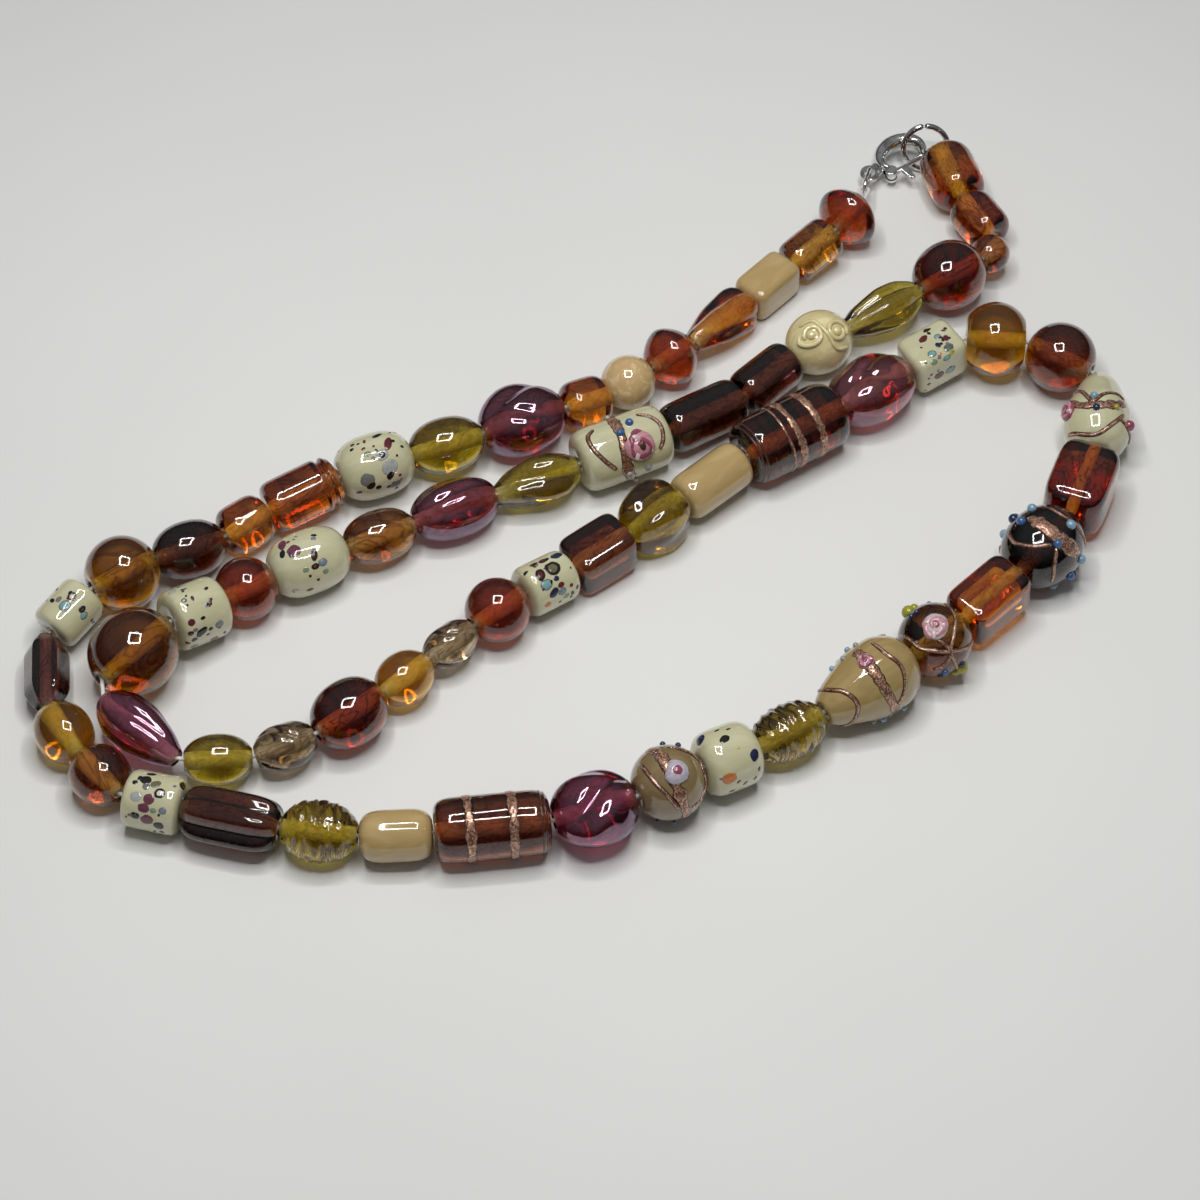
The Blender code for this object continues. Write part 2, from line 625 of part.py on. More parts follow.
def claw_lever(frame):
    """The sprung lever that closes the claw, on its pin, with a tab for the thumb."""
    pivot = frame @ Matrix.Translation((PIVOT_U, PIVOT_W, 0))
    end = Vector((LEVER_END_U - PIVOT_U, LEVER_END_W - PIVOT_W, 0))
    half = LEVER_WIDTH / 2
    thumb = THUMB_U - PIVOT_U
    sunk = PIN_RADIUS + PIN_CLEARANCE + half * 0.4
    outline = (
        Vector((0, -half * 1.6, 0)),
        Vector((thumb - THUMB_WIDTH / 2, -half, 0)),
        Vector((thumb - THUMB_WIDTH * 0.3, -THUMB_LENGTH, 0)),
        Vector((thumb + THUMB_WIDTH * 0.3, -THUMB_LENGTH - half * 0.3, 0)),
        Vector((thumb + THUMB_WIDTH / 2, -half * 0.8, 0)),
        Vector((end.x, end.y - half, 0)),
        Vector((end.x + half * 0.5, end.y, 0)),
        Vector((end.x, end.y + half, 0)),
        Vector((thumb, half * 1.1, 0)),
        Vector((0, half * 1.6, 0)),
        Vector((-sunk, 0, 0)),
    )
    lever = extruded("clasp_lever", outline, LEVER_THICKNESS, 0, pivot)
    knuckle = pin("lever_knuckle", CHEEK_RADIUS - LEVER_CLEARANCE, LEVER_THICKNESS * 0.98, pivot)
    join_solid(lever, knuckle, "UNION")
    bore = pin("lever_bore", PIN_RADIUS + PIN_CLEARANCE, LEVER_THICKNESS * 2, pivot)
    join_solid(lever, bore, "DIFFERENCE")
    return lever


def claw_frame():
    """The clasp's own frame at its eye, turned to its heading, tip up and rolled about its length."""
    turn = Matrix.Rotation(math.radians(CLAW_HEADING), 4, "Z")
    pitch = Matrix.Rotation(math.radians(-CLAW_PITCH), 4, "Y")
    roll = Matrix.Rotation(math.radians(CLAW_ROLL), 4, "X")
    return Matrix.Translation(EYE_PLACE) @ turn @ pitch @ roll


def small_link(frame, mouth):
    """The long link that stands between the clasp's eye and the thread, and its end by the thread."""
    reach = (Vector(EYE_PLACE) - mouth).normalized()
    flat = frame.col[2].to_3d().cross(reach).normalized()
    standing = reach.cross(flat).normalized()
    bend = LINK_WIDTH / 2 - LINK_WIRE
    straight = reach * (LINK_LENGTH / 2 - LINK_WIRE - bend)
    middle = Vector(EYE_PLACE) - reach * (LINK_LENGTH / 2 - LINK_WIRE - LINK_PAST_EYE)
    points = arc(middle + straight, reach, standing, bend, bend, -90, 90, 7)
    points += arc(middle - straight, reach, standing, bend, bend, 90, 270, 7)
    tube("clasp_link", points, LINK_WIRE, "silver", closed=True)
    return middle - straight - reach * bend, standing


def large_ring(frame):
    """The open jump ring that leans in the claw, and where the thread's loop holds it."""
    lean = math.radians(RING_LEAN)
    slope = Vector((0, math.cos(lean), math.sin(lean)))
    flat = Vector((1, 0, 0))
    held_in_claw = frame @ Vector((*RING_PASS, 0))
    height = RING_RADIUS * math.sin(lean) + RING_WIRE
    below = (held_in_claw.z - height) / math.sin(lean)
    centre = held_in_claw - slope * below + flat * math.sqrt(RING_RADIUS**2 - below**2)
    start = RING_SPLIT + RING_SLIT
    end = 360 + RING_SPLIT - RING_SLIT
    points = arc(centre, flat, slope, RING_RADIUS, RING_RADIUS, start, end, RING_SEGMENTS)
    tube("jump_ring", points, RING_WIRE, "silver")
    hold = math.radians(RING_HOLD)
    held = centre + (flat * math.cos(hold) + slope * math.sin(hold)) * RING_RADIUS
    return held, slope * math.cos(hold) - flat * math.sin(hold)


def clear_scene():
    for item in list(bpy.data.objects):
        bpy.data.objects.remove(item, do_unlink=True)


def build():
    clear_scene()
    threaded = place_beads()
    ends = []
    for bead, (first, last) in zip(BEADS, threaded):
        drop = drop_of(bead, first, last)
        ends.append((first + drop, last + drop))
    before = bead_string(STRING_NAMES[0], range(FIRST_LOOSE), ends)
    after = bead_string(STRING_NAMES[1], range(LAST_LOOSE + 1, len(BEADS)), ends)
    for number in range(FIRST_LOOSE, LAST_LOOSE + 1):
        bead = BEADS[number]
        drilled_bead(f"bead_{number + 1:02d}_{bead.name}", bead, *ends[number])
    tube("thread", thread_points(threaded), THREAD_RADIUS, "thread")
    fasten(ends, before, after)
    seat_on_origin()


def fasten(ends, before, after):
    """The clasp, its small link, the jump ring, and the loops of thread that hold them."""
    frame = claw_frame()
    claw_body(frame)
    claw_lever(frame)
    for string, inner, mouth, held, wire, name in (
        (before, ends[0][1], ends[0][0], small_link(frame, ends[0][0]), LINK_WIRE, "clasp_side_loop"),
        (after, ends[-1][0], ends[-1][1], large_ring(frame), RING_WIRE, "ring_side_loop"),
    ):
        loop = thread_loop(name, mouth, (mouth - inner).normalized(), *held, wire)
        join_solid(string, loop, "UNION")


def seat_on_origin():
    """Hangs every piece on one empty, so that the origin is the bottom centre of the necklace."""
    bpy.context.view_layer.update()
    graph = bpy.context.evaluated_depsgraph_get()
    corners = []
    pieces = list(bpy.context.scene.collection.objects)
    for item in pieces:
        if item.hide_render:
            continue
        shape = item.evaluated_get(graph)
        corners += [shape.matrix_world @ vertex.co for vertex in shape.data.vertices]
    low = Vector([min(corner[axis] for corner in corners) for axis in range(3)])
    high = Vector([max(corner[axis] for corner in corners) for axis in range(3)])
    whole = bpy.data.objects.new("necklace", None)
    bpy.context.scene.collection.objects.link(whole)
    for item in pieces:
        item.parent = whole
    whole.location = (-(low.x + high.x) / 2, -(low.y + high.y) / 2, -low.z)


build()
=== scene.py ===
import json
import math
import random
from collections import namedtuple

import bmesh
import bpy
import numpy as np
from mathutils import Matrix, Vector, noise
from mathutils.bvhtree import BVHTree

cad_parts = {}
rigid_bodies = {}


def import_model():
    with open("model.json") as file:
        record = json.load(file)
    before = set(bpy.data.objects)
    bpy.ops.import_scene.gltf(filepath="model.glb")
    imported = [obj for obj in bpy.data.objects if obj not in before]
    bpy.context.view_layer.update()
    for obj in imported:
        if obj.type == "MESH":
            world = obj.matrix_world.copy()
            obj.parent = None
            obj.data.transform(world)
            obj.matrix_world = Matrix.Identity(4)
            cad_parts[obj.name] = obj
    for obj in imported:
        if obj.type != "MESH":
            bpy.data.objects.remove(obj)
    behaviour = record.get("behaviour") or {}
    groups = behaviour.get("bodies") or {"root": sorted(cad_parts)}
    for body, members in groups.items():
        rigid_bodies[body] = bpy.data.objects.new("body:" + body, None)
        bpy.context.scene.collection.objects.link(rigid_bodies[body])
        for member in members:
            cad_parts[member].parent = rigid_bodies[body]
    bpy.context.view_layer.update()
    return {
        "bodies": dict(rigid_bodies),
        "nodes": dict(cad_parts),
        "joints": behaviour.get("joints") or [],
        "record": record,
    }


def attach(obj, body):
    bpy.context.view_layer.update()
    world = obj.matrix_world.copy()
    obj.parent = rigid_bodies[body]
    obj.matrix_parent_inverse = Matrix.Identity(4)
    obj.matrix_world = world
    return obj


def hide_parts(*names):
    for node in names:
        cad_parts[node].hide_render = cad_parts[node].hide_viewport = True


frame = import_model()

# The table is a plain matt white sheet in a small photo box: a square ring of light strips hangs
# overhead, the walls are pale, and the front stands open to a dimmer room.
MM = 0.001
UP = Vector((0, 0, 1))
TARGET = Vector((0.0015, -0.0249, 0.0))
CAMERA_AWAY = 0.6
CAMERA_ELEVATION = math.radians(52)
PHOTO_WIDTH = 0.2008
LIGHT_HEIGHT = 0.42
LIGHT_RING = 0.19
LIGHT_STRIP = 0.026
LIGHT_POWER = 0.382
LIGHT_COLOUR = (1.0, 0.985, 0.96)
BOX_LEAN = 0.12
BOX_LOW = 0.02
BOX_HIGH = 0.85
BOX_DIM = 0.025
BOX_BRIGHT = 0.20
BOX_COLOUR = (0.95, 0.985, 1.0, 1)
SENSOR_WIDTH = 36.0


def shader_of(material):
    return next(n for n in material.node_tree.nodes if n.type == "BSDF_PRINCIPLED")


def node(material, kind, links=None, **settings):
    """A node with its settings; links maps its inputs to sockets or plain values.

    material is a material or the world."""
    made = material.node_tree.nodes.new("ShaderNode" + kind)
    for key, value in settings.items():
        setattr(made, key, value)
    for key, value in (links or {}).items():
        if isinstance(value, bpy.types.NodeSocket):
            material.node_tree.links.new(value, made.inputs[key])
        else:
            made.inputs[key].default_value = value
    return made


def ramp(material, factor, *stops):
    """Colours from stop to stop: each stop is a place and a colour or a grey."""
    made = node(material, "ValToRGB", {"Fac": factor})
    steps = made.color_ramp.elements
    while len(steps) < len(stops):
        steps.new(1.0)
    for step, (place, colour) in zip(steps, stops):
        step.position = place
        step.color = (*colour, 1) if isinstance(colour, tuple) else (colour, colour, colour, 1)
    return made.outputs["Color"]


def set_on(material, **values):
    """Sets the shader's own sockets: plain values stay on them, sockets are linked."""
    shader = shader_of(material)
    for key, value in values.items():
        name = key.replace("_", " ")
        if isinstance(value, bpy.types.NodeSocket):
            material.node_tree.links.new(value, shader.inputs[name])
        elif isinstance(value, tuple) and len(value) == 3 and shader.inputs[name].type == "RGBA":
            shader.inputs[name].default_value = (*value, 1)
        else:
            shader.inputs[name].default_value = value


def new_material(name, **values):
    material = bpy.data.materials.new(name)
    material.use_nodes = True
    set_on(material, **values)
    return material


def clouds(material, place, scale, detail, distortion=0.0):
    """Soft noise over a place, as a grey."""
    links = {"Vector": place, "Scale": scale, "Detail": detail, "Distortion": distortion}
    return node(material, "TexNoise", links).outputs["Fac"]


def multiplied(material, first, second):
    links = {"Fac": 1.0, "Color1": first, "Color2": second}
    return node(material, "MixRGB", links, blend_type="MULTIPLY").outputs["Color"]


def bumped(material, height, strength, distance):
    """The skin's direction where a grey raises it by up to a distance in millimetres."""
    links = {"Height": height, "Strength": strength, "Distance": distance * MM}
    return node(material, "Bump", links).outputs["Normal"]


def turned_place(material, drawn=None):
    """The place on the turned bead in millimetres, drawn out by a scale for each direction."""
    place = node(material, "Attribute", attribute_name="turned").outputs["Vector"]
    if drawn is None:
        return place
    return node(material, "Mapping", {"Vector": place, "Scale": drawn}).outputs["Vector"]


def sheet_material():
    material = new_material("matt_white_sheet", Roughness=0.85)
    grain = clouds(material, node(material, "TexCoord").outputs["Object"], 9.0, 3.0)
    shade = ramp(material, grain, (0.3, (0.76, 0.765, 0.76)), (0.7, (0.79, 0.795, 0.79)))
    set_on(material, Base_Color=shade)
    return material


def lay_table():
    mesh = bmesh.new()
    bmesh.ops.create_grid(mesh, x_segments=1, y_segments=1, size=2.0)
    data = bpy.data.meshes.new("table")
    mesh.to_mesh(data)
    mesh.free()
    data.materials.append(sheet_material())
    table = bpy.data.objects.new("table", data)
    bpy.context.scene.collection.objects.link(table)


def set_camera():
    lens = bpy.data.cameras.new("camera")
    lens.sensor_width = SENSOR_WIDTH
    lens.lens = SENSOR_WIDTH * CAMERA_AWAY / PHOTO_WIDTH
    camera = bpy.data.objects.new("camera", lens)
    back = Vector((0, -math.cos(CAMERA_ELEVATION), math.sin(CAMERA_ELEVATION)))
    camera.location = TARGET + back * CAMERA_AWAY
    camera.rotation_euler = (-back).to_track_quat("-Z", "Y").to_euler()
    bpy.context.scene.collection.objects.link(camera)
    bpy.context.scene.camera = camera


def hang_lights():
    half = LIGHT_RING / 2
    for turn in range(4):
        strip = bpy.data.lights.new(f"strip_{turn}", "AREA")
        strip.shape = "RECTANGLE"
        strip.size = LIGHT_RING
        strip.size_y = LIGHT_STRIP
        strip.energy = LIGHT_POWER
        strip.color = LIGHT_COLOUR
        holder = bpy.data.objects.new(f"strip_{turn}", strip)
        angle = turn * math.pi / 2
        out = Vector((-math.sin(angle), math.cos(angle), 0))
        holder.location = TARGET + out * half + UP * LIGHT_HEIGHT
        holder.rotation_euler = (0, 0, angle)
        bpy.context.scene.collection.objects.link(holder)


def light_the_box():
    world = bpy.data.worlds.new("photo_box")
    world.use_nodes = True
    bpy.context.scene.world = world
    backdrop = next(n for n in world.node_tree.nodes if n.type == "BACKGROUND")
    place = node(world, "TexCoord").outputs["Generated"]
    split = node(world, "SeparateXYZ", {"Vector": place})
    depth = node(
        world, "Math", {0: split.outputs["Y"], 1: BOX_LEAN, 2: split.outputs["Z"]},
        operation="MULTIPLY_ADD",
    )
    shade = node(
        world, "MapRange",
        {
            "Value": depth.outputs[0], "From Min": BOX_LOW, "From Max": BOX_HIGH,
            "To Min": BOX_DIM, "To Max": BOX_BRIGHT,
        },
        interpolation_type="SMOOTHSTEP",
    )
    world.node_tree.links.new(shade.outputs["Result"], backdrop.inputs["Strength"])
    backdrop.inputs["Color"].default_value = BOX_COLOUR


bpy.context.scene.view_settings.view_transform = "Standard"
lay_table()
set_camera()
hang_lights()
light_the_box()


# The string: sixty-five drilled beads end to end on one thread, which runs from the clasp round
# to the jump ring. Each bead is a rigid stretch of it and rests on the table, as in the frame.
SHIFT = Vector((0.00152, -0.024894, 0.0))
THREAD_RADIUS = 0.40 * MM
BORE_RADIUS = 1.00 * MM
BEAD_GAP = 0.35 * MM
BORE_MARGIN = 0.12 * MM
FRAME_SIDES = 12
TANGENT = 1 / math.cos(math.pi / FRAME_SIDES)
SAG = 0.8 * MM
SETTLE_SWEEPS = 300
PLACE_PASSES = 8
ROOM_STEPS = 8
CURVE_STEPS = 24
MIRRORED = {
    "round": ((0.00, 0.33), (0.08, 0.63), (0.335, 1.0)),
    "oval": ((0.00, 0.36), (0.08, 0.65), (0.32, 1.0)),
    "barrel": ((0.00, 0.56), (0.07, 0.84), (0.29, 1.0)),
    "cylinder": ((0.00, 0.72), (0.035, 0.93), (0.10, 1.0)),
    "rondelle": ((0.00, 0.36), (0.10, 0.76), (0.33, 1.0)),
    "tube": ((0.00, 0.52), (0.17, 0.93), (0.24, 1.0)),
}
ONE_WAY = {
    "cone": ((0.00, 0.62), (0.05, 0.88), (0.16, 1.0), (0.55, 0.86), (0.93, 0.52), (1.00, 0.36)),
    "drop": ((0.00, 0.34), (0.07, 0.62), (0.26, 0.95), (0.50, 1.0), (0.82, 0.70), (1.00, 0.34)),
    "egg": ((0.00, 0.46), (0.07, 0.78), (0.25, 1.0), (0.52, 0.97), (0.88, 0.58), (1.00, 0.34)),
}


def turned_round(rows):
    return tuple((1 - along, radius) for along, radius in reversed(rows))


FORMS = {name: half + turned_round(half) for name, half in MIRRORED.items()}
FORMS.update(ONE_WAY)
FORMS.update({name + "_back": turned_round(rows) for name, rows in ONE_WAY.items()})
Section = namedtuple("Section", "kind count depth turns height")
SECTIONS = {
    "plain": Section("lobes", 1, 0.0, 0.0, 1.0),
    "square": Section("square", 4, 0.0, 0.0, 0.98),
    "hexagon": Section("flats", 6, 0.0, 0.0, 1.0),
    "fluted": Section("lobes", 6, 0.12, 0.0, 0.95),
    "twisted": Section("lobes", 3, 0.16, 0.35, 0.95),
    "swept": Section("lobes", 4, 0.12, 0.16, 0.95),
    "nugget": Section("lobes", 3, 0.07, 0.1, 0.84),
    "flat": Section("lobes", 2, 0.03, 0.0, 0.88),
}
Bead = namedtuple("Bead", "name form length width section", defaults=["plain"])
BEADS = (
    Bead("rust_rondelle", "rondelle", 8.0, 11.8),
    Bead("gold_cylinder", "cylinder", 9.6, 8.2),
    Bead("beige_square", "cylinder", 10.8, 7.6, "square"),
    Bead("amber_twisted_cone", "cone", 14.6, 8.8, "swept"),
    Bead("rust_rondelle", "rondelle", 8.9, 10.9),
    Bead("beige_round", "round", 8.5, 9.7),
    Bead("amber_barrel", "barrel", 7.7, 8.8),
    Bead("purple_nugget", "oval", 14.6, 13.7, "nugget"),
    Bead("olive_oval", "oval", 12.5, 9.9),
    Bead("speckled_round", "barrel", 12.7, 11.2),
    Bead("rust_cylinder", "cylinder", 12.7, 9.4),
    Bead("amber_barrel", "barrel", 8.0, 8.9),
    Bead("dark_oval", "oval", 12.1, 9.9),
    Bead("brown_round", "round", 11.2, 12.9),
    Bead("dotted_cylinder", "cylinder", 8.8, 8.6),
    Bead("plum_hexagon", "tube", 13.7, 7.6, "hexagon"),
    Bead("olive_round", "round", 10.5, 9.6),
    Bead("striped_oval", "oval", 9.8, 9.8),
    Bead("spotted_cylinder", "cylinder", 9.0, 9.6),
    Bead("brown_fluted_oval", "barrel", 15.6, 10.0, "fluted"),
    Bead("olive_knobbly_oval", "oval", 11.9, 9.9),
    Bead("beige_barrel", "barrel", 11.2, 8.5),
    Bead("banded_cylinder", "cylinder", 18.1, 10.6),
    Bead("magenta_nugget", "oval", 13.1, 13.6, "nugget"),
    Bead("eye_round", "round", 10.9, 12.4),
    Bead("dotted_barrel", "barrel", 9.5, 11.0),
    Bead("olive_knobbly_oval", "oval", 12.3, 9.2),
    Bead("rose_egg", "egg_back", 17.4, 12.9),
    Bead("rose_round", "round", 11.3, 12.4),
    Bead("amber_pillow", "cylinder", 12.9, 9.2, "square"),
    Bead("bumped_round", "round", 14.6, 13.4),
    Bead("amber_square_barrel", "barrel", 14.9, 11.2, "square"),
    Bead("rose_cone", "egg", 16.4, 11.8),
    Bead("rust_round", "round", 11.5, 12.4),
    Bead("gold_round", "round", 10.0, 13.4),
    Bead("dotted_square_barrel", "cylinder", 10.0, 8.8, "square"),
    Bead("bronze_nugget", "oval", 15.4, 13.2, "nugget"),
    Bead("banded_cylinder", "cylinder", 19.1, 12.0),
    Bead("beige_cylinder", "cylinder", 13.1, 8.5),
    Bead("olive_faceted_nugget", "barrel", 11.5, 10.8, "square"),
    Bead("amber_square_cylinder", "cylinder", 11.1, 9.2, "square"),
    Bead("blotched_cylinder", "cylinder", 9.0, 9.0),
    Bead("rust_round", "round", 9.9, 11.0),
    Bead("smoky_twist", "oval", 9.2, 7.8, "twisted"),
    Bead("honey_round", "round", 9.8, 8.9),
    Bead("marbled_oval", "oval", 12.3, 11.3),
    Bead("smoky_twist", "oval", 9.7, 8.7, "twisted"),
    Bead("olive_oval", "oval", 10.7, 8.5),
    Bead("purple_drop", "drop_back", 16.0, 9.2),
    Bead("large_brown_round", "round", 14.5, 14.6),
    Bead("dotted_cylinder", "cylinder", 9.4, 10.6),
    Bead("rust_round", "round", 9.0, 10.9),
    Bead("speckled_oval", "barrel", 13.1, 11.0),
    Bead("swirled_oval", "oval", 12.1, 9.2),
    Bead("purple_oval", "oval", 14.7, 10.3),
    Bead("olive_twisted_drop", "drop_back", 14.8, 9.3, "swept"),
    Bead("rose_cylinder", "cylinder", 16.2, 11.2),
    Bead("brown_cylinder", "cylinder", 14.7, 9.0),
    Bead("red_brown_cylinder", "cylinder", 11.6, 8.5),
    Bead("carved_round", "round", 11.4, 11.4),
    Bead("olive_fluted_drop", "drop_back", 15.5, 8.6, "fluted"),
    Bead("dark_rust_round", "round", 12.6, 12.6),
    Bead("small_clear_round", "oval", 6.1, 7.0),
    Bead("swirled_cylinder", "barrel", 9.4, 8.8),
    Bead("speckled_barrel", "barrel", 11.7, 10.2),
)
FIRST_LOOSE = 13
LAST_LOOSE = 52
STRING_NAMES = ("clasp_side_string", "ring_side_string")
ROUTE = (
    (46.6, 85.6), (43.6, 80.8), (30.8, 69.4), (16.7, 53.1), (1.4, 41.5), (-13.4, 34.1),
    (-33.5, 26.6), (-52.5, 17.5), (-65.9, 7.4), (-76.7, 2.2), (-86.0, -4.9), (-90.7, -12.8),
    (-90.0, -23.1), (-83.5, -34.2), (-76.9, -42.0), (-67.9, -44.7), (-51.8, -48.9), (-33.8, -50.8),
    (-18.2, -49.1), (-1.5, -47.0), (14.5, -39.4), (35.2, -27.8), (50.1, -16.9), (64.8, -3.5),
    (75.8, 7.9), (82.1, 23.0), (87.2, 35.6), (85.4, 44.8), (75.8, 50.9), (65.8, 53.1),
    (55.5, 48.1), (42.9, 38.4), (25.9, 27.3), (5.3, 10.3), (-13.0, -3.3), (-29.3, -17.2),
    (-41.9, -29.4), (-58.0, -35.9), (-68.9, -35.4), (-78.3, -28.9), (-79.8, -18.1), (-73.2, -12.5),
    (-56.1, -0.5), (-32.2, 11.9), (-3.2, 25.0), (19.4, 37.0), (34.2, 49.8), (53.3, 62.5),
    (65.5, 70.2), (70.8, 75.1), (69.8, 80.4), (64.8, 89.2), (62.2, 99.1),
)


def curve_through(points):
    """A smooth curve through the points, as close steps that never kink."""
    padded = [points[0] * 2 - points[1], *points, points[-1] * 2 - points[-2]]
    steps = []
    for before, start, end, after in zip(padded, padded[1:], padded[2:], padded[3:]):
        for step in range(CURVE_STEPS):
            t = step / CURVE_STEPS
            steps.append(
                0.5
                * (
                    2 * start
                    + (end - before) * t
                    + (2 * before - 5 * start + 4 * end - after) * t * t
                    + (3 * start - before - 3 * end + after) * t**3
                )
            )
    return [*steps, points[-1]]


class Walk:
    """A walk along the curve in straight strides, as rigid beads lie on a bent thread."""

    def __init__(self, steps):
        self.steps = steps
        self.index = 0
        self.point = steps[0].copy()

    def stride(self, length):
        """The point on the curve this far in a straight line from the last one."""
        while self.index < len(self.steps) - 2:
            if (self.steps[self.index + 1] - self.point).length >= length:
                break
            self.index += 1
        start = self.steps[self.index]
        along = (self.steps[self.index + 1] - start).normalized()
        offset = start - self.point
        half = offset.dot(along)
        root = max(half * half - offset.length_squared + length * length, 0)
        self.point = start + along * (math.sqrt(root) - half)
        return self.point


def reach_of(bead, turn, along):
    """How far a bead's section reaches from its axis in one direction, as a share of half its width."""
    section = SECTIONS[bead.section]
    if section.kind == "square":
        return (abs(math.cos(turn)) ** 5 + abs(math.sin(turn)) ** 5) ** -0.2 * 0.97
    if section.kind == "flats":
        half = math.pi / section.count
        return math.cos(half) / math.cos((turn + half) % (2 * half) - half)
    phase = section.count * (turn - 2 * math.pi * section.turns * along) + math.pi * (section.count % 2)
    return TANGENT * (1 - section.depth * (1 + math.cos(phase)) / 2)


def frame_rings(bead):
    """Each ring of a bead in the frame: its distance from the bead's start, and its corners."""
    least = BORE_RADIUS + 2 * BORE_MARGIN
    start = 0 if SECTIONS[bead.section].kind == "flats" else 0.5
    height = SECTIONS[bead.section].height
    rings = []
    for along, share in FORMS[bead.form]:
        radius = max(share * bead.width * MM / 2, least)
        corners = []
        for side in range(FRAME_SIDES):
            turn = 2 * math.pi * (side + start) / FRAME_SIDES
            reach = radius * reach_of(bead, turn, along)
            corners.append((reach * math.sin(turn), -reach * math.cos(turn) * height))
        rings.append((along * bead.length * MM, corners))
    return rings


def bead_frame(first, last):
    """A frame with X along a bead's axis, Y to its side and Z up from it, at the axis's start."""
    along = (last - first).normalized()
    side = UP.cross(along).normalized()
    placed = Matrix((along, side, along.cross(side))).transposed().to_4x4()
    placed.translation = first
    return placed


def corners_of(first, last, rings):
    placed = bead_frame(first, last)
    return [placed @ Vector((distance, side, up)) for distance, corners in rings for side, up in corners]


def room_between(before, after):
    """The clear distance between two neighbouring beads, each given by its ends and its rings."""
    axes = [(last - first).normalized() for first, last, _ in (before, after)]
    near, far = (np.array(corners_of(*bead)) for bead in (before, after))
    rooms = []
    for step in range(ROOM_STEPS + 1):
        facing = axes[0].lerp(axes[1], step / ROOM_STEPS).normalized()
        rooms.append((far @ facing).min() - (near @ facing).max())
    return max(rooms)


def settled_heights(depths):
    """Heights of the thread at the joints between beads, when each bead rests on the table."""
    count = len(depths)
    deepest = [max(depth for _, depth in rows) for rows in depths]
    heights = [max(deepest[max(i - 1, 0)], deepest[min(i, count - 1)]) for i in range(count + 1)]
    for _ in range(SETTLE_SWEEPS):
        for joint in range(count + 1):
            least = THREAD_RADIUS
            if joint > 0:
                for distance, depth in depths[joint - 1]:
                    share = distance / depths[joint - 1][-1][0]
                    if share >= 0.5:
                        least = max(least, (depth - heights[joint - 1] * (1 - share)) / share)
            if joint < count:
                for distance, depth in depths[joint]:
                    share = distance / depths[joint][-1][0]
                    if share <= 0.5:
                        least = max(least, (depth - heights[joint + 1] * share) / (1 - share))
            sides = [heights[i] for i in (joint - 1, joint + 1) if 0 <= i <= count]
            heights[joint] = max(least, sum(sides) / len(sides) - SAG)
    return heights


def laid_out(heights, gaps, scale):
    """The ends of every bead's axis with these gaps, and how much of the route they took."""
    steps = curve_through([Vector((*point, 0)) * MM * scale for point in ROUTE])
    walk = Walk(steps)
    ends = []
    for index, bead in enumerate(BEADS):
        rise = heights[index + 1] - heights[index]
        first = walk.point + UP * heights[index]
        last = walk.stride(math.sqrt((bead.length * MM) ** 2 - rise**2)) + UP * heights[index + 1]
        ends.append((first, last))
        if index < len(gaps):
            walk.stride(gaps[index])
    whole = sum((end - start).length for start, end in zip(steps, steps[1:]))
    left = (steps[-1] - walk.point).dot((steps[-1] - steps[-2]).normalized())
    return ends, 1 - left / whole


def place_beads():
    """The start and end of every bead's axis on the thread, each bead over the table."""
    rings = [frame_rings(bead) for bead in BEADS]
    depths = [[(distance, -min(up for _, up in corners)) for distance, corners in rows] for rows in rings]
    heights = settled_heights(depths)
    gaps = [BEAD_GAP] * (len(BEADS) - 1)
    scale = 1.0
    for _ in range(PLACE_PASSES):
        ends, share = laid_out(heights, gaps, scale)
        scale *= share
        beads = [(*pair, rows) for pair, rows in zip(ends, rings)]
        for index, (before, after) in enumerate(zip(beads, beads[1:])):
            gaps[index] += BEAD_GAP - room_between(before, after)
    return laid_out(heights, gaps, scale)[0]


def drop_of(bead, first, last):
    """How far a bead drops on its thread towards the table, as far as its bore lets it."""
    lowest = min(corner.z for corner in corners_of(first, last, frame_rings(bead)))
    slack = BORE_RADIUS * math.cos(math.pi / FRAME_SIDES) - THREAD_RADIUS - BORE_MARGIN
    return UP * -min(lowest, slack)


threaded = [(first + SHIFT, last + SHIFT) for first, last in place_beads()]
ends = []
for bead, (first, last) in zip(BEADS, threaded):
    drop = drop_of(bead, first, last)
    ends.append((first + drop, last + drop))


# Every bead is glass wound on a steel rod: a turned body that rolls in at both mouths to the bore,
# where the clay that the rod was dipped in still clings. Each keeps its own small unevenness.
BEAD_SIDES = 64
BEAD_RINGS = 40
MOUTH_DEPTH = 0.45 * MM
MOUTH_LIP = 0.5 * MM
TOUCH = 0.20 * MM
UNEVEN = 0.012
ROUNDNESS = {
    "round": (2.0, 2.0, 0.30),
    "oval": (2.15, 2.1, 0.32),
    "barrel": (4.6, 3.0, 0.50),
    "cylinder": (9.0, 4.6, 0.55),
    "rondelle": (1.4, 1.9, 0.27),
    "fat_oval": (2.7, 2.4, 0.44),
}
FAT_OVALS = (10, 53)
FAR = 30 * MM
Laid = namedtuple("Laid", "number length skin placed")


def evened(points, count):
    """The points of a line set out again at equal steps along it."""
    line = np.array(points)
    run = np.concatenate([[0], np.cumsum(np.linalg.norm(np.diff(line, axis=0), axis=1))])
    places = np.linspace(0, run[-1], count)
    return [(float(np.interp(s, run, line[:, 0])), float(np.interp(s, run, line[:, 1]))) for s in places]


def eased(points, passes):
    """The points of a line, each drawn a little towards its neighbours."""
    line = np.array(points)
    for _ in range(passes):
        line[1:-1] = (line[:-2] + 2 * line[1:-1] + line[2:]) / 4
    return [tuple(map(float, point)) for point in line]


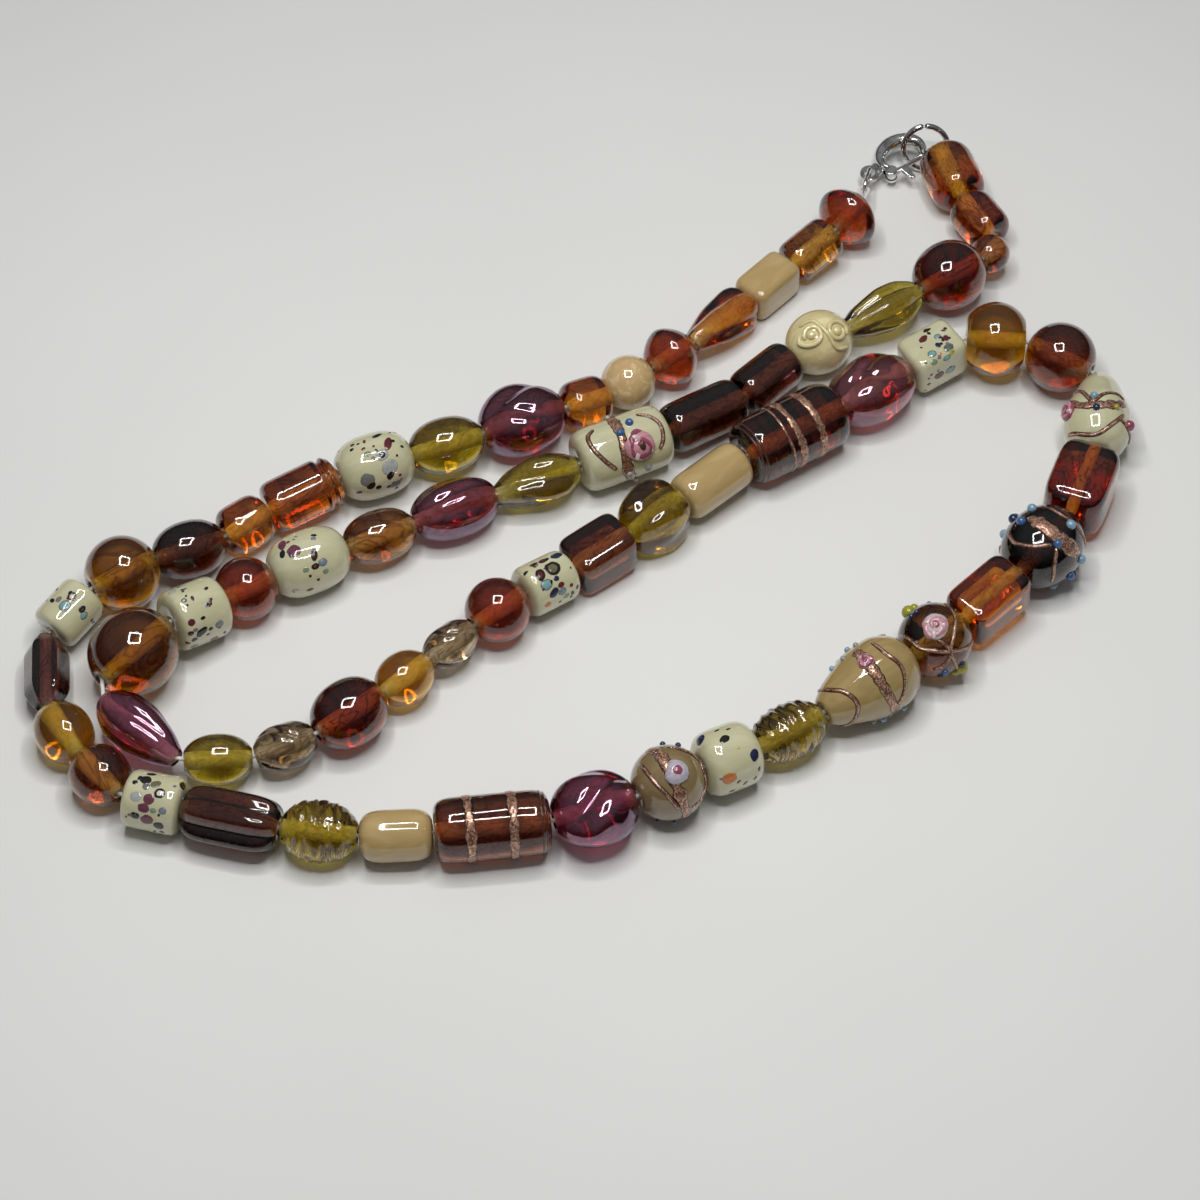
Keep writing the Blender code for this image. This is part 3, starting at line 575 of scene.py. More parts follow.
def outside_line(bead, rings):
    """The outline of a bead from mouth to mouth: distance along it, and radius."""
    length = bead.length * MM
    half = bead.width * MM / 2
    if bead.form in ROUNDNESS:
        along_power, across_power, rim = ROUNDNESS[bead.form]
        cut_off = 0.8 * math.sqrt(max(1 - (length / half / 2) ** 2, 0)) if bead.form == "round" else 0
        rim = max(rim, cut_off, (BORE_RADIUS + MOUTH_LIP) / half)
        reach = (1 - rim**across_power) ** (1 / along_power)
        start = math.asin(rim ** (across_power / 2))
        line = []
        for step in range(401):
            turn = start + (math.pi - 2 * start) * step / 400
            across = math.sin(turn) ** (2 / across_power)
            along = math.copysign(abs(math.cos(turn)) ** (2 / along_power), -math.cos(turn)) / reach
            line.append(((along + 1) / 2 * length, across * half))
        return evened(line, rings)
    least = BORE_RADIUS + MOUTH_LIP
    rows = [(along * length, max(share * half, least)) for along, share in FORMS[bead.form]]
    rough = evened(eased(evened(rows, 60), 9), rings)
    widest = max(radius for _, radius in rough)
    return [(distance, radius * half / widest) for distance, radius in rough]


def mouth_line(end, inward, rim):
    """The rolled-in mouth from the rim down to the bore."""
    line = []
    for step in range(1, 7):
        turn = math.pi / 2 * step / 6
        line.append((
            end + inward * MOUTH_DEPTH * (1 - math.cos(turn)),
            BORE_RADIUS + (rim - BORE_RADIUS) * (1 - math.sin(turn)),
        ))
    return line


def section_share(bead, turn, along):
    """The same section as in the frame, with its true round instead of a twelve-sided one."""
    share = reach_of(bead, turn, along)
    return share if SECTIONS[bead.section].kind != "lobes" else share / TANGENT


def wound_body(bead, shape, sides, rings):
    """The closed body of a drilled bead, X along it from the middle of its length.

    shape, if given, multiplies the plain section by a share for each turn and place along."""
    outside = outside_line(bead, rings)
    rim_start, rim_end = outside[0][1], outside[-1][1]
    line = mouth_line(0, 1, rim_start)[::-1] + outside + mouth_line(bead.length * MM, -1, rim_end)
    line = line[:1] + eased(line[1:-1], 2) + line[-1:]
    mesh = bmesh.new()
    marks = [mesh.verts.new((distance - bead.length * MM / 2, 0, -radius)) for distance, radius in line]
    edges = [mesh.edges.new(pair) for pair in zip(marks, marks[1:])]
    edges.append(mesh.edges.new((marks[-1], marks[0])))
    bmesh.ops.spin(
        mesh, geom=marks + edges, cent=(0, 0, 0), axis=(1, 0, 0), dvec=(0, 0, 0),
        angle=2 * math.pi, steps=sides, use_merge=True, use_duplicate=False,
    )
    half = bead.width * MM / 2
    height = SECTIONS[bead.section].height
    for vertex in mesh.verts:
        along = vertex.co.x / (bead.length * MM) + 0.5
        radius = math.hypot(vertex.co.y, vertex.co.z)
        turn = math.atan2(vertex.co.y, -vertex.co.z)
        fullness = min(max((radius - BORE_RADIUS * 1.02) / (half * 0.75 - BORE_RADIUS), 0), 1)
        fullness *= fullness * (3 - 2 * fullness)
        share = section_share(bead, turn, along) * (shape(turn, along) if shape else 1)
        across = 1 + (share - 1) * fullness
        up = 1 + (share * height - 1) * fullness
        vertex.co.y = radius * math.sin(turn) * across
        vertex.co.z = -radius * math.cos(turn) * up
    bmesh.ops.recalc_face_normals(mesh, faces=mesh.faces)
    return mesh


def node_of(number):
    """The node of the frame that holds this bead."""
    if number <= FIRST_LOOSE:
        return STRING_NAMES[0]
    if number > LAST_LOOSE + 1:
        return STRING_NAMES[1]
    return f"bead_{number:02d}_{BEADS[number - 1].name}"


def show_piece(name, mesh, materials, *nodes, body="necklace"):
    """A finished piece at the origin, riding on its body in place of its nodes."""
    data = bpy.data.meshes.new(name)
    mesh.to_mesh(data)
    mesh.free()
    for material in materials:
        data.materials.append(material)
    made = bpy.data.objects.new(name, data)
    bpy.context.scene.collection.objects.link(made)
    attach(made, body)
    if nodes:
        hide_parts(*nodes)
    return made


def keep_turned(mesh):
    """Keeps each point's place on the turned bead, which the glasses read, in millimetres."""
    turned = mesh.verts.layers.float_vector.new("turned")
    for vertex in mesh.verts:
        vertex[turned] = vertex.co / MM


def lay_bead(number, glass, shape=None, sides=BEAD_SIDES, rings=BEAD_RINGS):
    """Makes a bead and lays it in its place; gives back the skin that its decoration is laid on."""
    bead = BEADS[number - 1]
    if number in FAT_OVALS:
        bead = bead._replace(form="fat_oval")
    first, last = ends[number - 1]
    length = bead.length * MM
    mesh = wound_body(bead, shape, sides, rings)
    keep_turned(mesh)
    wobble = Vector((number * 3.7, number * 1.3, 0))
    for vertex in mesh.verts:
        vertex.co.x *= 1 + 2 * TOUCH / length
        if math.hypot(vertex.co.y, vertex.co.z) > BORE_RADIUS * 1.3:
            swell = noise.noise(vertex.co / (length * 0.7) + wobble)
            vertex.co.yz *= 1 + UNEVEN * (swell - 0.35)
    for face in mesh.faces:
        face.smooth = True
        inside = all(math.hypot(v.co.y, v.co.z) < BORE_RADIUS * 1.05 for v in face.verts)
        face.material_index = 1 if inside else 0
    skin = BVHTree.FromBMesh(mesh)
    placed = bead_frame(first, last) @ Matrix.Translation((length / 2, 0, 0))
    lowest = min((placed @ vertex.co).z for vertex in mesh.verts)
    if lowest < 0:
        placed = Matrix.Translation((0, 0, -lowest)) @ placed
    bmesh.ops.transform(mesh, matrix=placed, verts=mesh.verts)
    show_piece(f"glass_{number:02d}_{bead.name}", mesh, [glass, bore_clay()], node_of(number))
    return Laid(number, length, skin, placed)


def bore_clay():
    """The pale clay left in the bore, seen through the glass as a lighter bar."""
    name = "bore_clay"
    if name in bpy.data.materials:
        return bpy.data.materials[name]
    material = new_material(name, Roughness=0.9)
    specks = clouds(material, turned_place(material), 1.3, 5.0)
    shade = ramp(material, specks, (0.35, (0.82, 0.72, 0.52)), (0.6, (0.97, 0.90, 0.72)))
    set_on(material, Base_Color=shade)
    return material


# The plain clear beads are pulled from amber, rust, olive and brown rods. Their colour comes from the
# depth of glass, with darker stringer, pale streaks or specks drawn round in the skin.
def seen_through(colour, depth):
    """The volume colour and density that leave this colour of white light after a depth in millimetres."""
    losses = [-math.log(max(value, 0.002)) / (depth * MM) for value in colour]
    density = max(losses) * 1.02
    return tuple(1 - loss / density for loss in losses), density


LUSTRE_SKIN = (0.88, 0.52, 0.74)


def clear_glass(
    name, colour, depth, streak=None, veil=0.03, scale=0.35, drawn=(0.35, 1, 1), centre=0.5, specks=None,
    lustre=None,
):
    """Clear coloured glass: its colour through a depth, and streaks of another colour drawn in its skin."""
    material = new_material(
        name, Transmission_Weight=1.0, IOR=1.5, Specular_IOR_Level=0.4, Coat_Weight=0.8, Coat_Roughness=0.01
    )
    place = turned_place(material)
    curls = clouds(material, turned_place(material, drawn), scale, 3.0, 1.8)
    clean = LUSTRE_SKIN if lustre else (1.0, 1.0, 1.0)
    streak = streak or (0.93, 0.9, 0.85)
    shade = ramp(
        material, curls, (0.0, clean), (centre - 0.03 - veil, clean), (centre - 0.01, streak),
        (centre + 0.01, streak), (centre + 0.03 + veil, clean),
    )
    if specks:
        spots = ramp(material, clouds(material, place, 1.5, 4.0), (0.60, clean), (0.66, specks))
        shade = multiplied(material, shade, spots)
    wave = clouds(material, place, 0.5, 2.0)
    gloss = ramp(material, wave, (0.3, 0.04), (0.7, 0.09))
    set_on(material, Base_Color=shade, Normal=bumped(material, wave, 0.075, 0.4), Roughness=gloss)
    if lustre:
        set_on(material, Specular_Tint=lustre, Specular_IOR_Level=1.0, Metallic=0.17)
    tint, density = seen_through(colour, depth)
    volume = node(material, "VolumeAbsorption", {"Color": (*tint, 1), "Density": density})
    output = next(n for n in material.node_tree.nodes if n.type == "OUTPUT_MATERIAL")
    material.node_tree.links.new(volume.outputs["Volume"], output.inputs["Volume"])
    return material


rust = clear_glass("rust_glass", (0.50, 0.085, 0.018), 8.0, streak=(0.75, 0.55, 0.42), veil=0.05)
rust_marbled = clear_glass(
    "marbled_rust_glass", (0.42, 0.06, 0.014), 8.0, streak=(0.16, 0.07, 0.05), veil=0.03,
    scale=0.3, centre=0.56,
)
rust_swirled = clear_glass(
    "swirled_rust_glass", (0.68, 0.19, 0.02), 8.0, streak=(0.28, 0.13, 0.09), veil=0.02,
    scale=0.28, centre=0.52,
)
amber = clear_glass("amber_glass", (0.78, 0.30, 0.025), 8.0, streak=(0.75, 0.52, 0.28), veil=0.04)
amber_speckled = clear_glass(
    "speckled_amber_glass", (0.76, 0.36, 0.03), 8.0, streak=(0.55, 0.38, 0.2), specks=(0.2, 0.1, 0.05)
)
honey = clear_glass("honey_glass", (0.80, 0.42, 0.03), 8.0, streak=(0.9, 0.8, 0.6), veil=0.06)
gold = clear_glass("gold_olive_glass", (0.66, 0.38, 0.022), 8.5, streak=(0.9, 0.8, 0.5), veil=0.05)
olive = clear_glass("olive_glass", (0.57, 0.42, 0.018), 8.0, streak=(0.6, 0.55, 0.25), veil=0.02)
brown = clear_glass("brown_glass", (0.42, 0.11, 0.02), 8.0, streak=(0.5, 0.28, 0.14), veil=0.04)
dark = clear_glass("dark_brown_glass", (0.13, 0.026, 0.010), 7.5, streak=(0.45, 0.32, 0.28), veil=0.04)
olive_brown = clear_glass(
    "olive_brown_glass", (0.58, 0.28, 0.014), 8.5, streak=(0.35, 0.24, 0.12), veil=0.03,
    scale=0.2, centre=0.54,
)
amber_grey = clear_glass(
    "grey_striped_amber_glass", (0.62, 0.24, 0.03), 8.0, streak=(0.30, 0.24, 0.22), veil=0.05, scale=0.25
)
PLAIN_CLEAR = {
    1: rust, 2: amber_speckled, 5: rust, 7: amber, 9: olive, 11: rust_swirled, 12: amber, 13: dark,
    14: olive_brown, 17: gold, 18: amber_grey, 30: amber, 32: rust_swirled, 34: brown, 35: gold, 41: brown,
    43: rust, 45: honey, 46: rust_marbled, 48: olive, 50: olive_brown, 52: rust, 54: amber_grey, 58: dark,
    59: dark, 62: rust_marbled, 63: brown, 64: rust_swirled, 65: amber_speckled,
}


def pinched(turn, along):
    """The long swirled bead has a ringed neck where its two gathers of glass meet."""
    return 1 - sum(
        depth * math.exp(-(((along - place) / width) ** 2))
        for place, depth, width in ((0.16, 0.16, 0.035), (0.06, 0.05, 0.03))
    )


for number, glass in PLAIN_CLEAR.items():
    lay_bead(number, glass, pinched if number == 11 else None, rings=60 if number == 11 else BEAD_RINGS)


# The shaped clear beads are marvered while soft: pressed with a blade into flutes, twisted, squared on
# a flat plate, or rolled over a ribbed tool that leaves the knobbly rings of the two olive ones.
def crease(count, depth, turns=0.0, fade=0.0):
    """Lobes that meet in creases and may turn along the bead."""

    def shape(turn, along):
        phase = count * (turn - 2 * math.pi * turns * along) / 2
        ease = 1 if not fade else min(1, along / fade, (1 - along) / fade)
        return 1 + depth * ease * (abs(math.sin(phase)) ** 0.7 - 0.75)

    return shape


def knobbly(turn, along):
    """Wavy ribs round the bead, broken up into knobs."""
    rib = math.cos(2 * math.pi * 7.5 * along + 1.1 * math.sin(3 * turn) + 0.6 * math.sin(5 * turn + 1))
    knob = math.cos(6 * turn + 2.6 * math.sin(2 * math.pi * 3.5 * along))
    return 1 + 0.021 * rib + 0.024 * knob * (0.6 + 0.4 * rib)


def faceted(turn, along):
    """The nugget is pinched to both ends and pressed into slanting flats."""
    slant = math.cos(3 * turn + 2.5 * along) ** 2
    return (1 - 0.26 * abs(2 * along - 1) ** 1.5) * (0.96 + 0.07 * slant)


olive_striped = clear_glass(
    "striped_olive_glass", (0.44, 0.32, 0.014), 7.5, streak=(0.66, 0.6, 0.3), veil=0.02, scale=0.6,
    drawn=(0.05, 1, 1),
)
smoke = clear_glass(
    "smoke_glass", (0.50, 0.38, 0.22), 7.0, streak=(0.34, 0.24, 0.18), veil=0.07, scale=0.5,
    drawn=(0.2, 1, 1),
)
plum = clear_glass("plum_glass", (0.12, 0.022, 0.022), 6.5, streak=(0.5, 0.35, 0.35))
amber_clear = clear_glass(
    "bright_amber_glass", (0.72, 0.20, 0.010), 8.0, streak=(0.7, 0.45, 0.25), veil=0.02
)
SHAPED_CLEAR = {
    4: (amber_clear, crease(4, 0.12, 0.16)), 16: (plum, None), 20: (dark, crease(6, 0.10)),
    21: (olive, knobbly), 27: (olive_striped, knobbly), 40: (olive, faceted),
    44: (smoke, crease(3, 0.22, 0.35)), 47: (smoke, crease(3, 0.22, 0.35)),
    56: (olive_striped, crease(4, 0.14, 0.16)),
    61: (olive_striped, crease(6, 0.13)),
}
FINE_SHAPES = (21, 27, 44, 47)
for number, (glass, shape) in SHAPED_CLEAR.items():
    fine = number in FINE_SHAPES
    lay_bead(number, glass, shape, sides=112 if fine else 72, rings=84 if fine else 64)


# The purple nuggets and drops are fumed: a breath of metal leaves a violet and bronze lustre on clear
# plum glass. Each was folded once while soft, so that a curved groove runs from end to end.
def folded(folds):
    """Grooves and ridges, each from mouth to mouth: its turn, its swing, its depth and its width."""

    def shape(turn, along):
        share = 1.0
        ease = math.sqrt(max(math.sin(math.pi * min(max(along, 0), 1)), 0))
        for middle, swing, depth, width in folds:
            away = turn - math.radians(middle + swing * math.cos(math.pi * along))
            away = (away + math.pi) % (2 * math.pi) - math.pi
            share += depth * ease * math.exp(-((away / math.radians(width)) ** 2))
        return share

    return shape


VIOLET = (0.66, 0.40, 1.0)
purple = clear_glass(
    "purple_lustre_glass", (0.42, 0.06, 0.11), 9.0, streak=(0.6, 0.4, 0.5), lustre=VIOLET
)
purple_brown = clear_glass(
    "brown_purple_lustre_glass", (0.40, 0.07, 0.06), 9.0, streak=(0.5, 0.35, 0.35), lustre=VIOLET
)
bronze_rose = clear_glass(
    "bronze_rose_lustre_glass", (0.52, 0.16, 0.12), 10.0, streak=(0.65, 0.5, 0.45),
    lustre=(0.9, 0.6, 0.85),
)
LUSTRE = {
    8: (purple_brown, (
        (215, 30, -0.15, 14), (160, -25, -0.11, 13), (250, 20, 0.07, 22), (40, 30, -0.14, 16),
    )),
    24: (purple, (
        (190, 38, -0.18, 14), (232, 30, 0.09, 20), (128, -20, -0.11, 16), (20, 35, -0.15, 16),
    )),
    37: (bronze_rose, (
        (200, 28, -0.16, 13), (165, -32, -0.12, 13), (260, 22, -0.09, 16), (30, 30, -0.14, 16),
    )),
    49: (purple, (
        (175, 12, -0.13, 14), (238, 14, -0.11, 14), (112, 10, -0.08, 16), (20, 12, -0.12, 16),
    )),
    55: (purple_brown, (
        (185, 10, -0.08, 12), (225, -8, -0.07, 12), (140, 8, -0.07, 12), (20, 10, -0.08, 14),
    )),
}
for number, (glass, folds) in LUSTRE.items():
    lay_bead(number, glass, folded(folds), sides=96, rings=56)


# The plain opaque beads are soft beige and cream rod, milky under a fire-polished skin, with faint
# veins where the colour ran. One is carved: curls of the same glass are trailed on and melted low.
def solid_glass(name, colour, vein, scale=0.25, drawn=(0.3, 1, 1)):
    """Milky glass of one colour, with veins of another drawn through it."""
    material = new_material(
        name, IOR=1.5, Coat_Weight=1.0, Coat_Roughness=0.015, Subsurface_Weight=0.2,
        Subsurface_Radius=(0.0012, 0.001, 0.0007), Subsurface_Scale=1.0,
    )
    veins = clouds(material, turned_place(material, drawn), scale, 4.0, 1.2)
    shade = ramp(material, veins, (0.35, colour), (0.5, vein), (0.55, vein), (0.7, colour))
    wave = clouds(material, turned_place(material), 0.6, 2.0)
    gloss = ramp(material, wave, (0.3, 0.05), (0.7, 0.09))
    set_on(material, Base_Color=shade, Normal=bumped(material, wave, 0.05, 0.4), Roughness=gloss)
    return material


beige = solid_glass("beige_glass", (0.53, 0.385, 0.175), (0.47, 0.33, 0.14))
beige_swirled = solid_glass(
    "swirled_beige_glass", (0.72, 0.56, 0.31), (0.58, 0.40, 0.19), scale=0.45, drawn=(1, 1, 1)
)
pale_beige = solid_glass("pale_beige_glass", (0.82, 0.74, 0.42), (0.70, 0.60, 0.31))
for number, glass in {3: beige, 6: beige_swirled, 22: beige, 39: beige}.items():
    lay_bead(number, glass)


def on_skin(laid, along, turn):
    """A place on a bead's skin and its outward direction: share along the bead, and degrees round it."""
    turn = math.radians(turn)
    inward = Vector((0, -math.sin(turn), math.cos(turn)))
    start = Vector(((min(max(along, 0.01), 0.99) - 0.5) * laid.length, 0, 0)) - inward * FAR
    hit, out, _, _ = laid.skin.ray_cast(start, inward)
    return hit, out


def beside(laid, place, ahead, aside):
    """The place some millimetres ahead along the bead and aside round it."""
    hit, _ = on_skin(laid, *place)
    radius = math.hypot(hit.y, hit.z)
    return place[0] + ahead * MM / laid.length, place[1] + math.degrees(aside * MM / radius)


def pressed(laid, point, height):
    """The nearest place on the skin, raised by a height in millimetres."""
    hit, out, _, _ = laid.skin.find_nearest(point)
    return hit + out * height * MM


def decoration():
    """An empty mesh whose points keep the colour of their glass."""
    mesh = bmesh.new()
    mesh.verts.layers.float_color.new("tint")
    return mesh


def coloured(mesh, verts, colour, material):
    tint = mesh.verts.layers.float_color["tint"]
    for vertex in verts:
        vertex[tint] = (*colour, 1)
    for face in {face for vertex in verts for face in vertex.link_faces}:
        face.material_index = material
        face.smooth = True


DAB_BITE = 0.07


def dab(mesh, laid, place, radius, height, colour, stretch=1.0, angle=0.0, lift=0.0, ragged=0.16):
    """A dab of hot glass that has melted on to the skin, rounded over the top."""
    centre, out = on_skin(laid, *place)
    ahead = (Vector((1, 0, 0)) - out * out.x).normalized()
    aside = out.cross(ahead)
    tilt = math.radians(angle)
    longways = ahead * math.cos(tilt) + aside * math.sin(tilt)
    crossways = aside * math.cos(tilt) - ahead * math.sin(tilt)
    spread = math.sqrt(stretch)
    verts = bmesh.ops.create_uvsphere(mesh, u_segments=16, v_segments=8, radius=1)["verts"]
    coloured(mesh, verts, colour, 0)
    for vertex in verts:
        u, v, w = vertex.co
        torn = noise.noise(Vector((u * 1.6, v * 1.6, centre.x * 900 + centre.y * 700)))
        reach = radius * MM * (1 + ragged * torn)
        point = centre + (longways * u * spread + crossways * v / spread) * reach
        vertex.co = pressed(laid, point, lift + w * height if w > 0 else w * DAB_BITE)


BALL_PROUD = 0.05


def ball(mesh, laid, place, radius, colour):
    """A small round bump of glass that stands on the skin."""
    centre, out = on_skin(laid, *place)
    if (laid.placed @ (centre + out * radius * 2 * MM)).z < 0:
        return
    verts = bmesh.ops.create_uvsphere(mesh, u_segments=14, v_segments=9, radius=radius * MM)["verts"]
    coloured(mesh, verts, colour, 0)
    bmesh.ops.translate(mesh, verts=verts, vec=centre + out * radius * BALL_PROUD * MM)


TRAIL_SIDES = 8
TRAIL_BITE = 0.06
STEP_SKIP = 4


def trail(mesh, laid, path, width, height, colour, material=0, closed=False, wander=0.0):
    """A thread of hot glass laid on the skin along a path of places, each with any lift of its own."""
    rows = [Vector((place[0], place[1] / 180, place[2] if len(place) > 2 else 0.0)) for place in path]
    line = curve_through(rows)[::STEP_SKIP]
    if not closed:
        line.append(rows[-1])
    stations = [on_skin(laid, row.x, row.y * 180) for row in line]
    count = len(stations) - 1
    verts = bmesh.ops.create_grid(mesh, x_segments=count, y_segments=TRAIL_SIDES, size=1)["verts"]
    coloured(mesh, verts, colour, material)
    for vertex in verts:
        index = round((vertex.co.x + 1) / 2 * count)
        turn = math.pi * (vertex.co.y + 1)
        centre, out = stations[index]
        ahead = stations[min(index + 1, count)][0] - stations[max(index - 1, 0)][0]
        if closed and index in (0, count):
            ahead = stations[1][0] - stations[count - 1][0]
        aside = out.cross(ahead).normalized()
        share = index / count
        taper = 1.0 if closed else (1 - abs(2 * share - 1) ** 12) ** 0.5
        sway = 1 + wander * noise.noise(centre * 900)
        point = centre + aside * math.cos(turn) * width / 2 * taper * sway * MM
        rise = math.sin(turn)
        top = line[index].z + rise * height
        vertex.co = pressed(laid, point, taper * top if rise > 0 else rise * taper * TRAIL_BITE)
    bmesh.ops.remove_doubles(mesh, verts=verts, dist=2e-6)


def tinted_glass(name):
    """Opaque soft glass in the colours of the dabs, slightly mottled."""
    material = new_material(name, Coat_Weight=0.5, Coat_Roughness=0.05, IOR=1.5)
    own = node(material, "Attribute", attribute_name="tint").outputs["Color"]
    mottle = clouds(material, turned_place(material), 1.8, 3.0)
    shade = ramp(material, mottle, (0.3, (0.72, 0.72, 0.72)), (0.7, (1.0, 1.0, 1.0)))
    gloss = ramp(material, mottle, (0.3, 0.1), (0.7, 0.2))
    set_on(material, Base_Color=multiplied(material, own, shade), Roughness=gloss)
    return material


dab_glass = tinted_glass("dab_glass")


RESTING = 0.02 * MM


def show_decoration(laid, mesh, kind, materials):
    """Everything laid on one bead, as a piece that stays with it, worn flat where the bead rests on it."""
    keep_turned(mesh)
    bmesh.ops.transform(mesh, matrix=laid.placed, verts=mesh.verts)
    for vertex in mesh.verts:
        vertex.co.z = max(vertex.co.z, RESTING)
    bmesh.ops.recalc_face_normals(mesh, faces=mesh.faces)
    bead = BEADS[laid.number - 1]
    show_piece(f"{kind}_{laid.number:02d}_{bead.name}", mesh, materials, node_of(laid.number))


def curl(laid, mesh, place, radius, turns, start, sense, colour, width=0.95, height=0.55):
    """A flat spiral of glass that winds out from its middle."""
    path = []
    steps = int(turns * 9)
    for step in range(steps + 1):
        share = step / steps
        angle = math.radians(start) + sense * 2 * math.pi * turns * share
        reach = radius * (0.5 + 0.5 * share)
        path.append(beside(laid, place, reach * math.cos(angle), reach * math.sin(angle)))
    trail(mesh, laid, path, width, height, colour)


carved = lay_bead(60, pale_beige, sides=80, rings=56)
curls = decoration()
CURL_COLOUR = (0.84, 0.76, 0.44)
for flip in (0, 180):
    for along, turn, size, start, sense in (
        (0.25, 194 + flip, 2.1, 170, 1), (0.64, 212 + flip, 2.1, 350, 1),
    ):
        dab(curls, carved, (along, turn), size * 0.42, 0.55, CURL_COLOUR, ragged=0.05)
        curl(carved, curls, (along, turn), size, 1.15, start, sense, CURL_COLOUR)
    trail(
        curls, carved,
        [(0.2, 160 + flip), (0.4, 172 + flip), (0.46, 205 + flip), (0.5, 238 + flip), (0.72, 250 + flip)],
        0.8, 0.4, CURL_COLOUR,
    )
show_decoration(carved, curls, "carved_curls", [pale_beige])


# The cream spotted beads are rolled in crushed glass: flat chips of black, maroon, turquoise, navy,
# green and orange melt in level, some with a grey halo. The far side repeats the near one, turned.
cream = solid_glass("cream_glass", (0.62, 0.605, 0.41), (0.57, 0.55, 0.355))
CHIP = {
    "black": (0.012, 0.010, 0.010), "maroon": (0.13, 0.018, 0.025), "red": (0.22, 0.03, 0.02),
    "plum": (0.16, 0.045, 0.075), "grey": (0.42, 0.44, 0.42), "greydark": (0.12, 0.14, 0.12),
    "smudge": (0.20, 0.20, 0.19), "greyblue": (0.20, 0.27, 0.34), "turquoise": (0.20, 0.42, 0.42),
    "green": (0.22, 0.32, 0.20), "yellowgreen": (0.42, 0.45, 0.14), "olive": (0.16, 0.15, 0.08),
    # The yellow chip is a painted glint, used on bead 26 only.
    "navy": (0.018, 0.025, 0.07), "orange": (0.62, 0.20, 0.04), "yellow": (0.70, 0.50, 0.08),
    "white": (0.72, 0.72, 0.62),
}
LAYERED = {
    "ringed": (("grey", 1.0), ("black", 0.62)),
    "ring": (("black", 1.0), ("white", 0.62)),
    "greeneye": (("black", 1.0), ("olive", 0.66)),
    "maroondark": (("black", 1.0), ("maroon", 0.6)),
    "turquoise": (("smudge", 1.0), ("turquoise", 0.82)),
    "greyblue": (("smudge", 1.0), ("greyblue", 0.78)),
}
